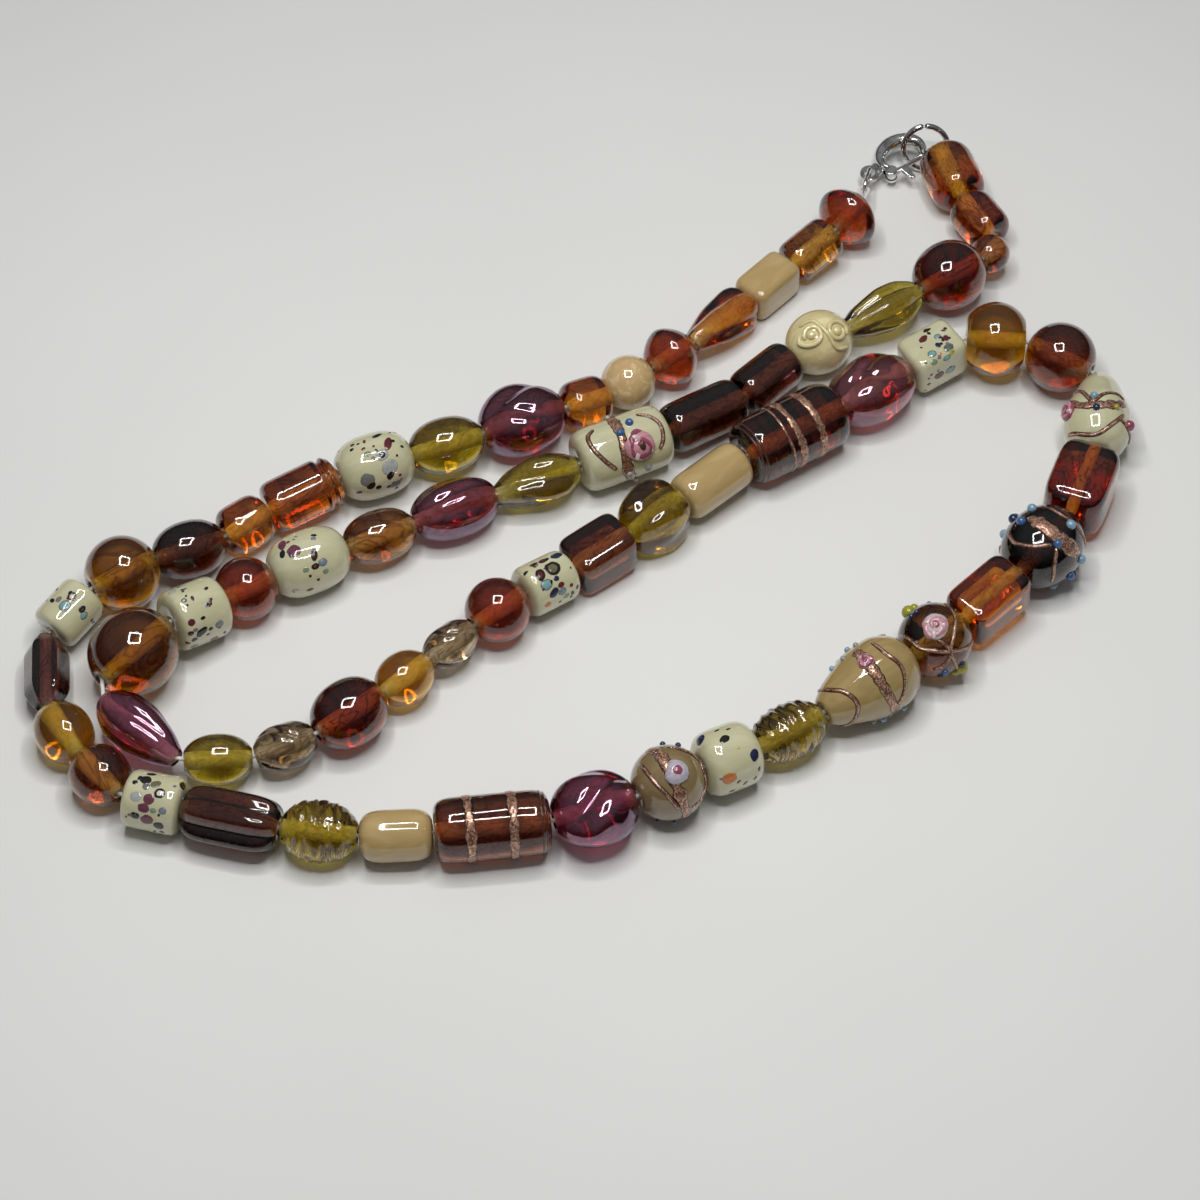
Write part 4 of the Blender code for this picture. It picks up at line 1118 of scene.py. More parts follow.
# Each chip of a bead: share along it, degrees round it, radius, stretch, angle and kind.
DOTS = {
    10: (
        (0.44, 155, 0.85, 1.2, 20, "ringed"),
        (0.30, 173, 0.80, 2.2, 60, "maroon"),
        (0.38, 200, 0.55, 2.4, 20, "black"),
        (0.23, 177, 0.35, 1.6, 0, "black"),
        (0.58, 194, 0.30, 2.2, 70, "red"),
        (0.64, 178, 0.28, 1.6, 30, "red"),
        (0.74, 199, 0.30, 1.4, 0, "black"),
        (0.78, 188, 0.28, 1.3, 0, "black"),
        (0.67, 194, 0.22, 1.3, 0, "black"),
        (0.50, 176, 0.20, 1.0, 0, "red"),
        (0.62, 165, 0.45, 1.3, 0, "green"),
        (0.39, 130, 1.15, 1.2, 40, "grey"),
        (0.41, 116, 0.62, 1.5, 60, "black"),
        (0.28, 109, 0.25, 1.2, 0, "red"),
        (0.36, 93, 0.75, 1.1, 0, "smudge"),
        (0.46, 93, 0.30, 1.2, 0, "black"),
        (0.73, 119, 1.05, 1.1, 30, "smudge"),
        (0.70, 107, 0.65, 1.3, 40, "black"),
        (0.60, 99, 0.40, 1.2, 0, "black"),
        (0.86, 93, 0.35, 1.8, 20, "black"),
        (0.25, 146, 0.20, 1.0, 0, "black"),
    ),
    15: (
        (0.62, 203, 0.40, 1.8, 80, "black"),
        (0.54, 190, 0.45, 1.3, 0, "smudge"),
        (0.35, 170, 0.62, 1.1, 0, "ring"),
        (0.57, 168, 0.80, 1.3, 0, "turquoise"),
        (0.40, 134, 0.50, 1.3, 0, "black"),
        (0.46, 120, 0.55, 1.2, 0, "turquoise"),
        (0.39, 94, 0.25, 1.2, 0, "black"),
        (0.10, 80, 0.25, 1.0, 0, "black"),
    ),
    19: (
        (0.36, 171, 0.75, 1.1, 0, "black"),
        (0.19, 182, 0.35, 1.2, 0, "black"),
        (0.41, 186, 0.50, 1.0, 0, "smudge"),
        (0.56, 176, 0.60, 1.4, 30, "olive"),
        (0.28, 210, 0.70, 1.1, 0, "grey"),
        (0.52, 209, 0.75, 1.0, 0, "plum"),
        (0.68, 194, 0.70, 1.0, 0, "ring"),
        (0.45, 228, 0.70, 1.3, 0, "plum"),
        (0.80, 226, 0.50, 1.1, 0, "greyblue"),
        (0.63, 229, 0.40, 1.2, 0, "green"),
        (0.31, 247, 0.55, 1.2, 0, "black"),
        (0.22, 248, 0.30, 1.5, 0, "olive"),
        (0.53, 251, 0.80, 1.3, 20, "plum"),
        (0.75, 260, 0.68, 1.1, 0, "black"),
        (0.99, 152, 0.70, 1.6, 60, "black"),
        (0.40, 150, 0.50, 1.6, 20, "black"),
    ),
    26: (
        (0.08, 145, 0.85, 1.1, 30, "navy"),
        (0.39, 178, 0.65, 1.5, 20, "black"),
        (0.39, 152, 0.28, 2.2, 10, "black"),
        (0.56, 160, 0.25, 1.8, 0, "black"),
        (0.76, 223, 0.75, 1.4, 70, "navy"),
        (0.22, 248, 0.95, 1.3, 0, "orange"),
        (0.39, 261, 0.26, 1.5, 30, "black"),
        (0.53, 271, 0.30, 2.0, 40, "black"),
        (0.72, 268, 0.28, 2.0, 60, "black"),
        (0.80, 251, 0.28, 1.8, 80, "black"),
        (0.29, 281, 0.35, 1.7, 0, "black"),
        # The yellow dot here is a painted glint: a yellow reflection laid on the skin as if it were a chip.
        (0.52, 202, 0.20, 1.2, 0, "yellow"),
    ),
    36: (
        (0.59, 197, 0.62, 1.7, 20, "maroon"),
        (0.36, 184, 0.50, 1.1, 0, "turquoise"),
        (0.26, 168, 0.50, 1.3, 60, "maroon"),
        (0.46, 162, 0.42, 1.4, 80, "navy"),
        (0.34, 146, 0.68, 1.3, 0, "greydark"),
        (0.34, 135, 0.50, 1.5, 20, "yellowgreen"),
        (0.65, 151, 0.62, 1.2, 0, "turquoise"),
        (0.53, 143, 0.22, 1.0, 0, "orange"),
        (0.70, 135, 0.50, 1.2, 0, "green"),
        (0.46, 129, 0.50, 1.4, 0, "turquoise"),
        (0.64, 92, 0.78, 1.1, 0, "maroon"),
        (0.41, 89, 0.75, 1.3, 0, "turquoise"),
        (0.66, 229, 0.40, 3.0, 0, "black"),
        (0.42, 212, 0.40, 2.6, 0, "black"),
    ),
    42: (
        (0.46, 169, 1.10, 1.1, 0, "greeneye"),
        (0.74, 167, 0.80, 1.4, 60, "maroondark"),
        (0.73, 142, 0.85, 1.2, 0, "turquoise"),
        (0.50, 145, 0.40, 1.2, 0, "navy"),
        (0.46, 128, 0.45, 1.3, 0, "maroon"),
        (0.64, 119, 0.70, 1.4, 30, "navy"),
        (0.47, 113, 0.60, 1.2, 0, "greyblue"),
        (0.39, 97, 0.45, 1.2, 0, "green"),
        (0.81, 98, 0.50, 1.2, 0, "orange"),
        (0.20, 195, 0.75, 1.6, 0, "navy"),
        (0.48, 198, 0.60, 2.0, 0, "maroondark"),
        (0.69, 201, 0.45, 2.2, 0, "black"),
    ),
    51: (
        (0.15, 154, 0.60, 1.2, 0, "grey"),
        (0.46, 131, 0.30, 2.0, 30, "black"),
        (0.64, 131, 0.32, 2.0, 30, "black"),
        (0.29, 168, 0.20, 1.3, 0, "black"),
        (0.19, 188, 0.36, 1.2, 0, "ring"),
        (0.19, 199, 0.20, 1.2, 0, "black"),
        (0.68, 182, 0.30, 1.7, 30, "black"),
        (0.54, 211, 0.42, 1.4, 40, "ringed"),
        (0.63, 206, 0.30, 1.8, 30, "maroon"),
        (0.14, 231, 0.52, 1.1, 0, "maroon"),
        (0.37, 231, 0.30, 1.5, 0, "black"),
        (0.66, 255, 0.60, 1.2, 0, "greyblue"),
        (0.30, 256, 0.75, 1.6, 20, "black"),
        (0.48, 257, 0.32, 1.2, 0, "black"),
        (0.09, 251, 0.40, 1.2, 0, "maroondark"),
        (0.15, 267, 0.40, 1.2, 0, "maroondark"),
        (0.04, 275, 0.35, 1.4, 0, "red"),
        (0.17, 288, 0.55, 1.4, 0, "smudge"),
        (0.59, 290, 0.55, 1.5, 0, "maroon"),
    ),
    53: (
        (0.30, 188, 0.95, 1.1, 0, "plum"),
        (0.22, 159, 0.80, 1.7, 70, "plum"),
        (0.16, 181, 0.52, 1.4, 60, "black"),
        (0.30, 163, 0.28, 1.2, 0, "red"),
        (0.60, 180, 0.35, 1.1, 0, "greyblue"),
        (0.51, 209, 0.65, 1.8, 70, "maroondark"),
        (0.58, 227, 0.60, 1.2, 0, "greyblue"),
        (0.47, 229, 0.50, 1.3, 0, "maroondark"),
        (0.34, 229, 0.40, 1.2, 0, "green"),
        (0.58, 245, 0.40, 1.2, 0, "green"),
        (0.37, 242, 0.22, 1.0, 0, "black"),
        (0.46, 255, 0.24, 1.0, 0, "black"),
        (0.33, 272, 0.40, 1.8, 0, "maroondark"),
        (0.16, 265, 0.35, 1.8, 0, "grey"),
    ),
}


CHIP_SPREAD = 1.25
CHIP_HEIGHT = 0.05
CHIP_STEP = 0.035
FINE_KINDS = ("black", "black", "maroon", "smudge", "navy")
FINE_CHIPS = {10: 16, 15: 22, 19: 18, 26: 4, 36: 34, 42: 26, 51: 26, 53: 12}


def roll_in_chips(number, chips):
    laid = lay_bead(number, cream, sides=72, rings=48)
    mesh = decoration()
    far_side = [(1 - along, turn + 180, *rest) for along, turn, *rest in chips]
    chance = random.Random(number)
    fine = [
        (
            chance.uniform(0.06, 0.94), chance.uniform(0, 360), chance.uniform(0.16, 0.34),
            chance.uniform(1.0, 2.0), chance.uniform(0, 180), chance.choice(FINE_KINDS),
        )
        for _ in range(FINE_CHIPS[number])
    ]
    for along, turn, radius, stretch, angle, kind in [*fine, *chips, *far_side]:
        height = CHIP_HEIGHT
        for colour, share in LAYERED.get(kind, ((kind, 1.0),)):
            spread = radius * share * CHIP_SPREAD
            dab(mesh, laid, (along, turn), spread, height, CHIP[colour], stretch, angle)
            height += CHIP_STEP
    show_decoration(laid, mesh, "chips", [dab_glass])


for number, chips in DOTS.items():
    roll_in_chips(number, chips)


# The copper beads carry aventurine: clear glass full of copper flakes, trailed on in bands and lines
# with dark brown under them. Long brown ones wear rings of it; the fancy ones have leaves and roses.
def copper_glitter():
    material = new_material("copper_aventurine", Metallic=0.55, Coat_Weight=0.7, Coat_Roughness=0.06)
    cells = node(material, "TexVoronoi", {"Vector": turned_place(material), "Scale": 5.5})
    flakes = cells.outputs["Color"]
    grain = ramp(
        material, flakes, (0.25, (0.07, 0.024, 0.014)), (0.55, (0.36, 0.16, 0.095)),
        (0.85, (0.90, 0.58, 0.42)),
    )
    gloss = ramp(material, flakes, (0.2, 0.5), (0.8, 0.22))
    set_on(material, Base_Color=grain, Normal=bumped(material, flakes, 0.5, 0.05), Roughness=gloss)
    return material


copper = copper_glitter()
DARK_LINE = (0.075, 0.028, 0.015)
BAND_BEADS = {
    23: (brown, ((0.30, 1.5), (0.68, 1.5))),
    38: (brown, ((0.34, 1.4), (0.56, 1.4), (0.66, 0.5))),
}


def round_path(along, wave, phase):
    """A ring round a bead at one distance along it, not quite true."""
    return [(along + wave * math.sin(math.radians(turn * 2 + phase)), turn) for turn in range(0, 361, 20)]


for number, (glass, bands) in BAND_BEADS.items():
    laid = lay_bead(number, glass, sides=80, rings=56)
    mesh = decoration()
    for phase, (along, width) in enumerate(bands):
        trail(mesh, laid, round_path(along, 0.006, phase * 70), width, 0.14, DARK_LINE, 1, True, wander=0.5)
    for along in (0.93, 0.965):
        trail(mesh, laid, round_path(along, 0.003, 30), 0.35, 0.10, DARK_LINE, 0, True)
    show_decoration(laid, mesh, "copper_rings", [dab_glass, copper])


# The fancy beads are lampwork in the old Venetian way: a copper leaf or band, a rose twirled from pink
# and white rod, trails that loop round the body, and small balls of blue, plum and yellow-green glass.
taupe = solid_glass("taupe_glass", (0.26, 0.19, 0.09), (0.22, 0.155, 0.07))
tan = solid_glass("tan_glass", (0.42, 0.305, 0.125), (0.36, 0.255, 0.10))
PLUM_PINK = (0.33, 0.075, 0.13)
PINK = (0.62, 0.30, 0.36)
PINK_WHITE = (0.78, 0.60, 0.62)
LILAC = (0.55, 0.50, 0.60)
PALE_BLUE = (0.25, 0.42, 0.58)
BLUE = (0.05, 0.14, 0.36)
DARK_BLUE = (0.016, 0.035, 0.11)
YELLOW_GREEN = (0.38, 0.36, 0.03)
CLEAR_BUMP = (0.34, 0.36, 0.34)


def copper_trail(mesh, laid, path, width=0.55):
    """A copper line with dark brown glass showing along both its sides."""
    trail(mesh, laid, path, width * 1.55, 0.12, DARK_LINE)
    trail(mesh, laid, path, width, 0.26, DARK_LINE, 1)


def copper_leaf(mesh, laid, path, width):
    """A broad band of copper glass with uneven edges."""
    trail(mesh, laid, path, width * 1.12, 0.10, DARK_LINE, 0, wander=0.5)
    trail(mesh, laid, path, width, 0.22, DARK_LINE, 1, wander=0.6)


def rose(mesh, laid, place, radius, petal, edge, heart, stretch=1.1, angle=0):
    """A dome of pink glass with a darker thread twirled into it from the middle."""
    dome = radius * 0.5
    dab(mesh, laid, place, radius, dome, petal, stretch, angle, ragged=0.22)
    path = []
    for step in range(17):
        share = step / 16
        turn = 1.4 * 2 * math.pi * share + radius
        reach = radius * (0.16 + 0.66 * share) * (1 + 0.12 * math.sin(3 * turn))
        lift = dome * math.sqrt(max(1 - (reach / radius) ** 2, 0)) - 0.04
        path.append((*beside(laid, place, reach * math.cos(turn), reach * math.sin(turn)), lift))
    trail(mesh, laid, path, radius * 0.34, 0.14, edge, wander=0.8)
    dab(mesh, laid, place, radius * 0.22, 0.12, heart, lift=dome)
    for turn, share in ((0.6, 0.5), (2.4, 0.62), (4.4, 0.55)):
        spot = beside(laid, place, radius * share * math.cos(turn), radius * share * math.sin(turn))
        dab(mesh, laid, spot, radius * 0.2, 0.1, PINK_WHITE, 1.8, math.degrees(turn) + 90, lift=dome * 0.8)


def fancy_bead(number, glass, leaves=(), trails=(), bumps=(), roses=(), eyes=()):
    """A fancy bead with its leaves, trails, bumps, roses and eyes, repeated on its far side."""
    laid = lay_bead(number, glass, sides=80, rings=56)
    mesh = decoration()
    for far in (False, True):
        def turned(along, turn):
            return (1 - along, turn + 180) if far else (along, turn)

        for width, path in leaves:
            copper_leaf(mesh, laid, [turned(*place) for place in path], width)
        for path in trails:
            copper_trail(mesh, laid, [turned(*place) for place in path])
        for along, turn, radius, colour in bumps:
            ball(mesh, laid, turned(along, turn), radius, colour)
        for along, turn, radius, *colours in roses:
            rose(mesh, laid, turned(along, turn), radius, *colours)
        for along, turn, radius, colour, pupil in eyes:
            dab(mesh, laid, turned(along, turn), radius, radius * 0.42, colour, 1.15, 30, ragged=0.3)
            dab(mesh, laid, turned(along, turn), radius * 0.34, 0.25, pupil, lift=radius * 0.36)
    show_decoration(laid, mesh, "lampwork", [dab_glass, copper])


fancy_bead(
    25, taupe,
    leaves=((1.7, ((0.40, 122), (0.44, 168), (0.42, 202), (0.43, 227), (0.46, 254), (0.52, 292))),),
    trails=(
        ((0.15, 139), (0.17, 196), (0.26, 228), (0.37, 258)),
        ((0.61, 153), (0.82, 166), (0.97, 191), (0.92, 248), (0.76, 266), (0.59, 267)),
    ),
    bumps=((0.35, 303, 0.5, DARK_BLUE), (0.82, 139, 0.5, DARK_BLUE)),
    eyes=((0.52, 201, 2.2, LILAC, PLUM_PINK),),
)
fancy_bead(
    28, tan,
    leaves=((1.7, ((0.52, 142), (0.51, 177), (0.50, 206), (0.51, 237), (0.57, 281))),),
    trails=(
        ((0.07, 103), (0.10, 161), (0.18, 194), (0.23, 229), (0.18, 267), (0.09, 310)),
        ((0.69, 150), (0.70, 184), (0.75, 211), (0.72, 234), (0.65, 255), (0.59, 266)),
    ),
    bumps=(
        (0.60, 130, 0.5, CLEAR_BUMP), (0.41, 136, 0.5, CLEAR_BUMP), (0.69, 295, 0.5, PALE_BLUE),
        (0.47, 300, 0.55, PALE_BLUE),
    ),
    roses=((0.51, 177, 1.45, PINK, PLUM_PINK, PLUM_PINK),),
)
fancy_bead(
    29, olive_brown,
    trails=(
        ((0.07, 104), (0.03, 198), (0.17, 227), (0.34, 238), (0.56, 247), (0.85, 255)),
        ((0.83, 150), (0.71, 193), (0.50, 216), (0.33, 241), (0.48, 293)),
        ((0.24, 207), (0.33, 241), (0.10, 273)),
    ),
    bumps=(
        (0.45, 109, 1.2, YELLOW_GREEN), (0.46, 294, 0.75, YELLOW_GREEN), (0.37, 144, 0.5, DARK_BLUE),
        (0.29, 139, 0.5, DARK_BLUE), (0.25, 281, 0.6, BLUE), (0.52, 276, 0.55, DARK_BLUE),
        (0.22, 294, 0.5, DARK_BLUE),
    ),
    roses=((0.34, 191, 2.3, PINK_WHITE, PINK, PLUM_PINK, 1.3, 30),),
)
fancy_bead(
    31, dark,
    leaves=((2.5, ((0.46, 149), (0.43, 188), (0.44, 217), (0.55, 253))),),
    trails=(
        ((0.27, 123), (0.14, 149), (0.17, 187), (0.31, 209)), ((0.34, 215), (0.21, 239), (0.16, 274)),
        ((0.72, 153), (0.72, 191), (0.77, 233), (0.80, 270)),
    ),
    bumps=(
        (0.64, 141, 0.85, PALE_BLUE), (0.39, 145, 0.85, BLUE), (0.69, 210, 0.9, PALE_BLUE),
        (0.37, 214, 0.8, BLUE), (0.61, 269, 0.85, PALE_BLUE), (0.42, 284, 0.8, BLUE),
        (0.51, 112, 0.9, DARK_BLUE),
    ),
)
fancy_bead(
    33, cream,
    leaves=((1.5, ((0.53, 105), (0.36, 145), (0.34, 173), (0.37, 197), (0.48, 227))),),
    trails=(
        ((0.69, 105), (0.60, 139), (0.45, 158), (0.39, 167), (0.51, 185), (0.57, 208), (0.54, 226)),
        ((0.34, 227), (0.17, 208), (0.05, 185), (0.04, 148), (0.12, 104)),
        ((0.25, 212), (0.22, 244), (0.21, 280)),
    ),
    bumps=(
        (0.47, 168, 0.7, PALE_BLUE), (0.30, 173, 0.7, DARK_BLUE), (0.36, 207, 0.6, YELLOW_GREEN),
        (0.26, 243, 1.0, PLUM_PINK),
    ),
    roses=((0.38, 117, 1.9, PLUM_PINK, PINK, PLUM_PINK, 1.3, 20),),
)
fancy_bead(
    57, cream,
    leaves=((1.8, ((0.48, 124), (0.45, 195), (0.42, 229), (0.41, 260), (0.50, 309))),),
    trails=(
        ((0.23, 161), (0.12, 175), (0.11, 201), (0.18, 228), (0.28, 251)),
        ((0.71, 163), (0.82, 178), (0.89, 201), (0.87, 226), (0.80, 244)),
    ),
    bumps=(
        (0.45, 191, 0.75, BLUE), (0.60, 177, 0.75, BLUE), (0.42, 272, 0.7, CLEAR_BUMP),
        (0.64, 273, 0.7, CLEAR_BUMP), (0.53, 308, 0.6, CLEAR_BUMP),
    ),
    roses=((0.60, 225, 2.8, PINK, PLUM_PINK, DARK_LINE),),
)


# The thread is white twisted nylon: it runs through the loose beads, and at both ends of the string
# it comes out of the last bead, goes round the metal and back in, as one loop.
WIRE_SIDES = 16
LOOP_RADIUS = 0.34 * MM
LOOP_CLEARANCE = 0.15 * MM
LOOP_BITE = 0.35 * MM


def wire_along(points, radius, closed=False, sides=WIRE_SIDES, twist=0.0, side=None, wide=1.0, fat=0.0):
    """A wire or thread along the points, with rounded ends where it is open.

    wide stretches its section to the given side; fat thickens it in the middle of its length."""
    count = len(points) - (0 if closed else 1)
    mesh = bmesh.new()
    verts = bmesh.ops.create_grid(mesh, x_segments=count, y_segments=sides, size=1)["verts"]
    frames = []
    for index, point in enumerate(points):
        before = points[index - 1] if index or closed else point
        after = points[(index + 1) % len(points)] if index + 1 < len(points) or closed else point
        along = (after - before).normalized()
        side = along.orthogonal() if side is None else side
        side = (side - along * side.dot(along)).normalized()
        frames.append((point, along, side, along.cross(side)))
    run = 0.0
    runs = [0.0]
    for start, end in zip(points, points[1:]):
        run += (end - start).length
        runs.append(run)
    for vertex in verts:
        index = round((vertex.co.x + 1) / 2 * count)
        turn = math.pi * (vertex.co.y + 1)
        point, along, side, across = frames[index % len(points)]
        reach = radius
        if twist and index < len(runs):
            reach *= 1 - 0.16 * abs(math.sin(1.5 * turn - 2 * math.pi * runs[index] / twist))
        ending = 0.55 if not closed and index in (0, count) else 1.0
        fattened = 1 + fat * math.sin(math.pi * index / count)
        section = side * math.cos(turn) * wide + across * math.sin(turn) * fattened
        vertex.co = point + section * reach * ending
    bmesh.ops.remove_doubles(mesh, verts=verts, dist=1e-7)
    open_edges = [edge for edge in mesh.edges if edge.is_boundary]
    if open_edges:
        bmesh.ops.holes_fill(mesh, edges=open_edges)
    bmesh.ops.recalc_face_normals(mesh, faces=mesh.faces)
    for face in mesh.faces:
        face.smooth = True
    return mesh


def arc(centre, along, across, radius_along, radius_across, start, end, count):
    """Points on an arc of an ellipse, angles in degrees from the along direction."""
    points = []
    for step in range(count):
        turn = math.radians(start + (end - start) * step / (count - 1))
        reach = along * radius_along * math.cos(turn) + across * radius_across * math.sin(turn)
        points.append(centre + reach)
    return points


def thread_material():
    material = new_material("white_thread", Roughness=0.75, Sheen_Weight=0.3)
    place = node(material, "TexCoord").outputs["Object"]
    fibre = clouds(material, place, 4000.0, 3.0)
    shade = ramp(material, fibre, (0.3, (0.62, 0.60, 0.55)), (0.7, (0.88, 0.87, 0.83)))
    set_on(material, Base_Color=shade, Normal=bumped(material, fibre, 0.4, 0.06))
    return material


white_thread = thread_material()


def run_between(points, step):
    """The same line with points at least this close together."""
    fine = [points[0]]
    for start, end in zip(points, points[1:]):
        pieces = max(1, math.ceil((end - start).length / step))
        fine += [start.lerp(end, part / pieces) for part in range(1, pieces + 1)]
    return fine


STRETCHES = (
    ("thread_through_beads", "thread", FIRST_LOOSE, LAST_LOOSE + 1, 0.9 * MM),
    (f"thread_in_{STRING_NAMES[0]}", STRING_NAMES[0], 0, FIRST_LOOSE, 1.2 * MM),
    (f"thread_in_{STRING_NAMES[1]}", STRING_NAMES[1], LAST_LOOSE + 1, len(BEADS), 1.2 * MM),
)
for name, string, first, last, step in STRETCHES:
    inside = [point for number in range(first, last) for point in threaded[number]]
    line = run_between(inside, step)
    show_piece(
        name, wire_along(line, THREAD_RADIUS * 0.97, sides=9, twist=2.4 * MM), [white_thread], string
    )


# The clasp is a small polished lobster claw of cast silver-coloured metal: a hook with a flat eye at
# its foot, and a sprung lever on a pin through the hook's cheeks, with a tab for the thumb.
EYE_PLACE = Vector((49.4 * MM, 97.0 * MM, 2.7 * MM)) + SHIFT
CLAW_HEADING = 33
CLAW_PITCH = 6
CLAW_ROLL = 6
EYE_RADIUS = 1.75 * MM
EYE_HOLE = 1.0 * MM
EYE_THICKNESS = 1.0 * MM
CLAW_THICKNESS = 2.8 * MM
CLAW_CENTRE = 7.2 * MM
CLAW_HALF_LENGTH = 5.0 * MM
CLAW_HALF_WIDTH = 4.1 * MM
CLAW_BAND = 1.5 * MM
CLAW_TIP_ANGLE = -38
CLAW_ROOT_ANGLE = 205
PIVOT_U = 3.3 * MM
PIVOT_W = -2.3 * MM
PIN_RADIUS = 0.38 * MM
PIN_CLEARANCE = 0.12 * MM
CHEEK_RADIUS = 1.1 * MM
LEVER_THICKNESS = 0.95 * MM
LEVER_CLEARANCE = 0.17 * MM
LEVER_WIDTH = 0.85 * MM
LEVER_END_U = 10.4 * MM
LEVER_END_W = -2.0 * MM
THUMB_U = 6.0 * MM
THUMB_LENGTH = 3.0 * MM
THUMB_WIDTH = 1.6 * MM
METAL_SIDES = 48


def silver_material():
    """Polished plated metal: its colour mottled at random from grey to pale, finely rubbed."""
    material = new_material("polished_silver", Metallic=1.0)
    place = node(material, "TexCoord").outputs["Object"]
    cloud = clouds(material, place, 700.0, 4.0)
    shade = ramp(material, cloud, (0.3, (0.45, 0.44, 0.43)), (0.6, (0.84, 0.83, 0.81)))
    long = node(material, "Mapping", {"Vector": place, "Scale": (900, 5000, 5000)}).outputs["Vector"]
    gloss = ramp(material, clouds(material, long, 1.0, 2.0), (0.35, 0.05), (0.7, 0.15))
    set_on(material, Base_Color=shade, Roughness=gloss, Normal=bumped(material, cloud, 0.06, 0.08))
    return material


silver = silver_material()


def claw_frame():
    turn = Matrix.Rotation(math.radians(CLAW_HEADING), 4, "Z")
    pitch = Matrix.Rotation(math.radians(-CLAW_PITCH), 4, "Y")
    roll = Matrix.Rotation(math.radians(CLAW_ROLL), 4, "X")
    return Matrix.Translation(EYE_PLACE) @ turn @ pitch @ roll


def blank(mesh, frame):
    """A piece of metal not yet joined, as an object that booleans can use."""
    bmesh.ops.transform(mesh, matrix=frame, verts=mesh.verts)
    data = bpy.data.meshes.new("blank")
    mesh.to_mesh(data)
    mesh.free()
    made = bpy.data.objects.new("blank", data)
    bpy.context.scene.collection.objects.link(made)
    return made


def plate(outline, thickness, bevel, segments, frame):
    """A flat plate of metal with this outline, its edges rounded over."""
    mesh = bmesh.new()
    corners = [mesh.verts.new((point.x, point.y, -thickness / 2)) for point in outline]
    raised = bmesh.ops.extrude_face_region(mesh, geom=[mesh.faces.new(corners)])["geom"]
    top = [item for item in raised if isinstance(item, bmesh.types.BMVert)]
    bmesh.ops.translate(mesh, verts=top, vec=(0, 0, thickness))
    bmesh.ops.recalc_face_normals(mesh, faces=mesh.faces)
    rims = [e for e in mesh.edges if abs(e.verts[0].co.z - e.verts[1].co.z) < thickness / 2]
    bmesh.ops.bevel(
        mesh, geom=rims, offset=bevel, segments=segments, profile=0.5, affect="EDGES", material=-1
    )
    return blank(mesh, frame)


def disc(radius, length, frame, bevel=0.0):
    """A round disc or pin through the origin of its frame, along Z."""
    mesh = bmesh.new()
    bmesh.ops.create_cone(
        mesh, cap_ends=True, segments=METAL_SIDES, radius1=radius, radius2=radius, depth=length
    )
    if bevel:
        rims = [e for e in mesh.edges if abs(e.verts[0].co.z - e.verts[1].co.z) < length / 2]
        bmesh.ops.bevel(
            mesh, geom=rims, offset=bevel, segments=3, profile=0.5, affect="EDGES", material=-1
        )
    return blank(mesh, frame)


def slab(low, high, frame):
    mesh = bmesh.new()
    size = [b - a for a, b in zip(low, high)]
    middle = [(a + b) / 2 for a, b in zip(low, high)]
    bmesh.ops.create_cube(mesh, size=1, matrix=Matrix.Translation(middle) @ Matrix.Diagonal((*size, 1)))
    return blank(mesh, frame)


def cast_together(name, base, added, cut, pinned, node_name, body):
    """The blanks joined and cut as one casting, and shown in place of its node."""
    steps = [(other, "UNION") for other in added] + [(other, "DIFFERENCE") for other in cut]
    steps += [(other, "UNION") for other in pinned]
    for other, operation in steps:
        change = base.modifiers.new("join", "BOOLEAN")
        change.operation = operation
        change.object = other
        change.solver = "EXACT"
    bpy.context.view_layer.update()
    cast = base.evaluated_get(bpy.context.evaluated_depsgraph_get())
    mesh = bmesh.new()
    mesh.from_mesh(cast.to_mesh())
    cast.to_mesh_clear()
    for item in [base] + [other for other, _ in steps]:
        bpy.data.objects.remove(item, do_unlink=True)
    for face in mesh.faces:
        face.smooth = True
    made = show_piece(name, mesh, [silver], node_name, body=body)
    made.data.set_sharp_from_angle(angle=math.radians(32))
    return made


clasp = claw_frame()
pivot = clasp @ Matrix.Translation((PIVOT_U, PIVOT_W, 0))
bow = Vector((CLAW_CENTRE, 0, 0))
u_axis, w_axis = Vector((1, 0, 0)), Vector((0, 1, 0))
bow_line = arc(
    bow, u_axis, w_axis, CLAW_HALF_LENGTH - CLAW_BAND / 2, CLAW_HALF_WIDTH - CLAW_BAND / 2,
    CLAW_TIP_ANGLE, CLAW_ROOT_ANGLE, 72,
)
hook = blank(
    wire_along(
        bow_line, CLAW_BAND / 2, sides=32, side=UP, wide=CLAW_THICKNESS / CLAW_BAND, fat=0.8
    ),
    clasp,
)
neck_end = CLAW_CENTRE - CLAW_HALF_LENGTH + CLAW_BAND / 2
half_slot = LEVER_THICKNESS / 2 + LEVER_CLEARANCE
cast_together(
    "claw_casting", hook,
    added=[
        disc(EYE_RADIUS, EYE_THICKNESS, clasp, 0.22 * MM),
        slab(
            (EYE_HOLE + PIN_RADIUS, -EYE_RADIUS * 0.7, -EYE_THICKNESS * 0.45),
            (neck_end, EYE_RADIUS * 0.7, EYE_THICKNESS * 0.45), clasp,
        ),
        disc(CHEEK_RADIUS, CLAW_THICKNESS * 0.98, pivot, 0.2 * MM),
    ],
    cut=[
        disc(EYE_HOLE, CLAW_THICKNESS * 2, clasp),
        slab(
            (PIVOT_U - CHEEK_RADIUS - LEVER_CLEARANCE * 2, PIVOT_W - CHEEK_RADIUS * 2, -half_slot),
            (LEVER_END_U + LEVER_WIDTH, LEVER_END_W + LEVER_WIDTH / 2 + LEVER_CLEARANCE * 3, half_slot),
            clasp,
        ),
    ],
    pinned=[disc(PIN_RADIUS, CLAW_THICKNESS * 0.9, pivot)],
    node_name="clasp_body", body="necklace",
)
half_width = LEVER_WIDTH / 2
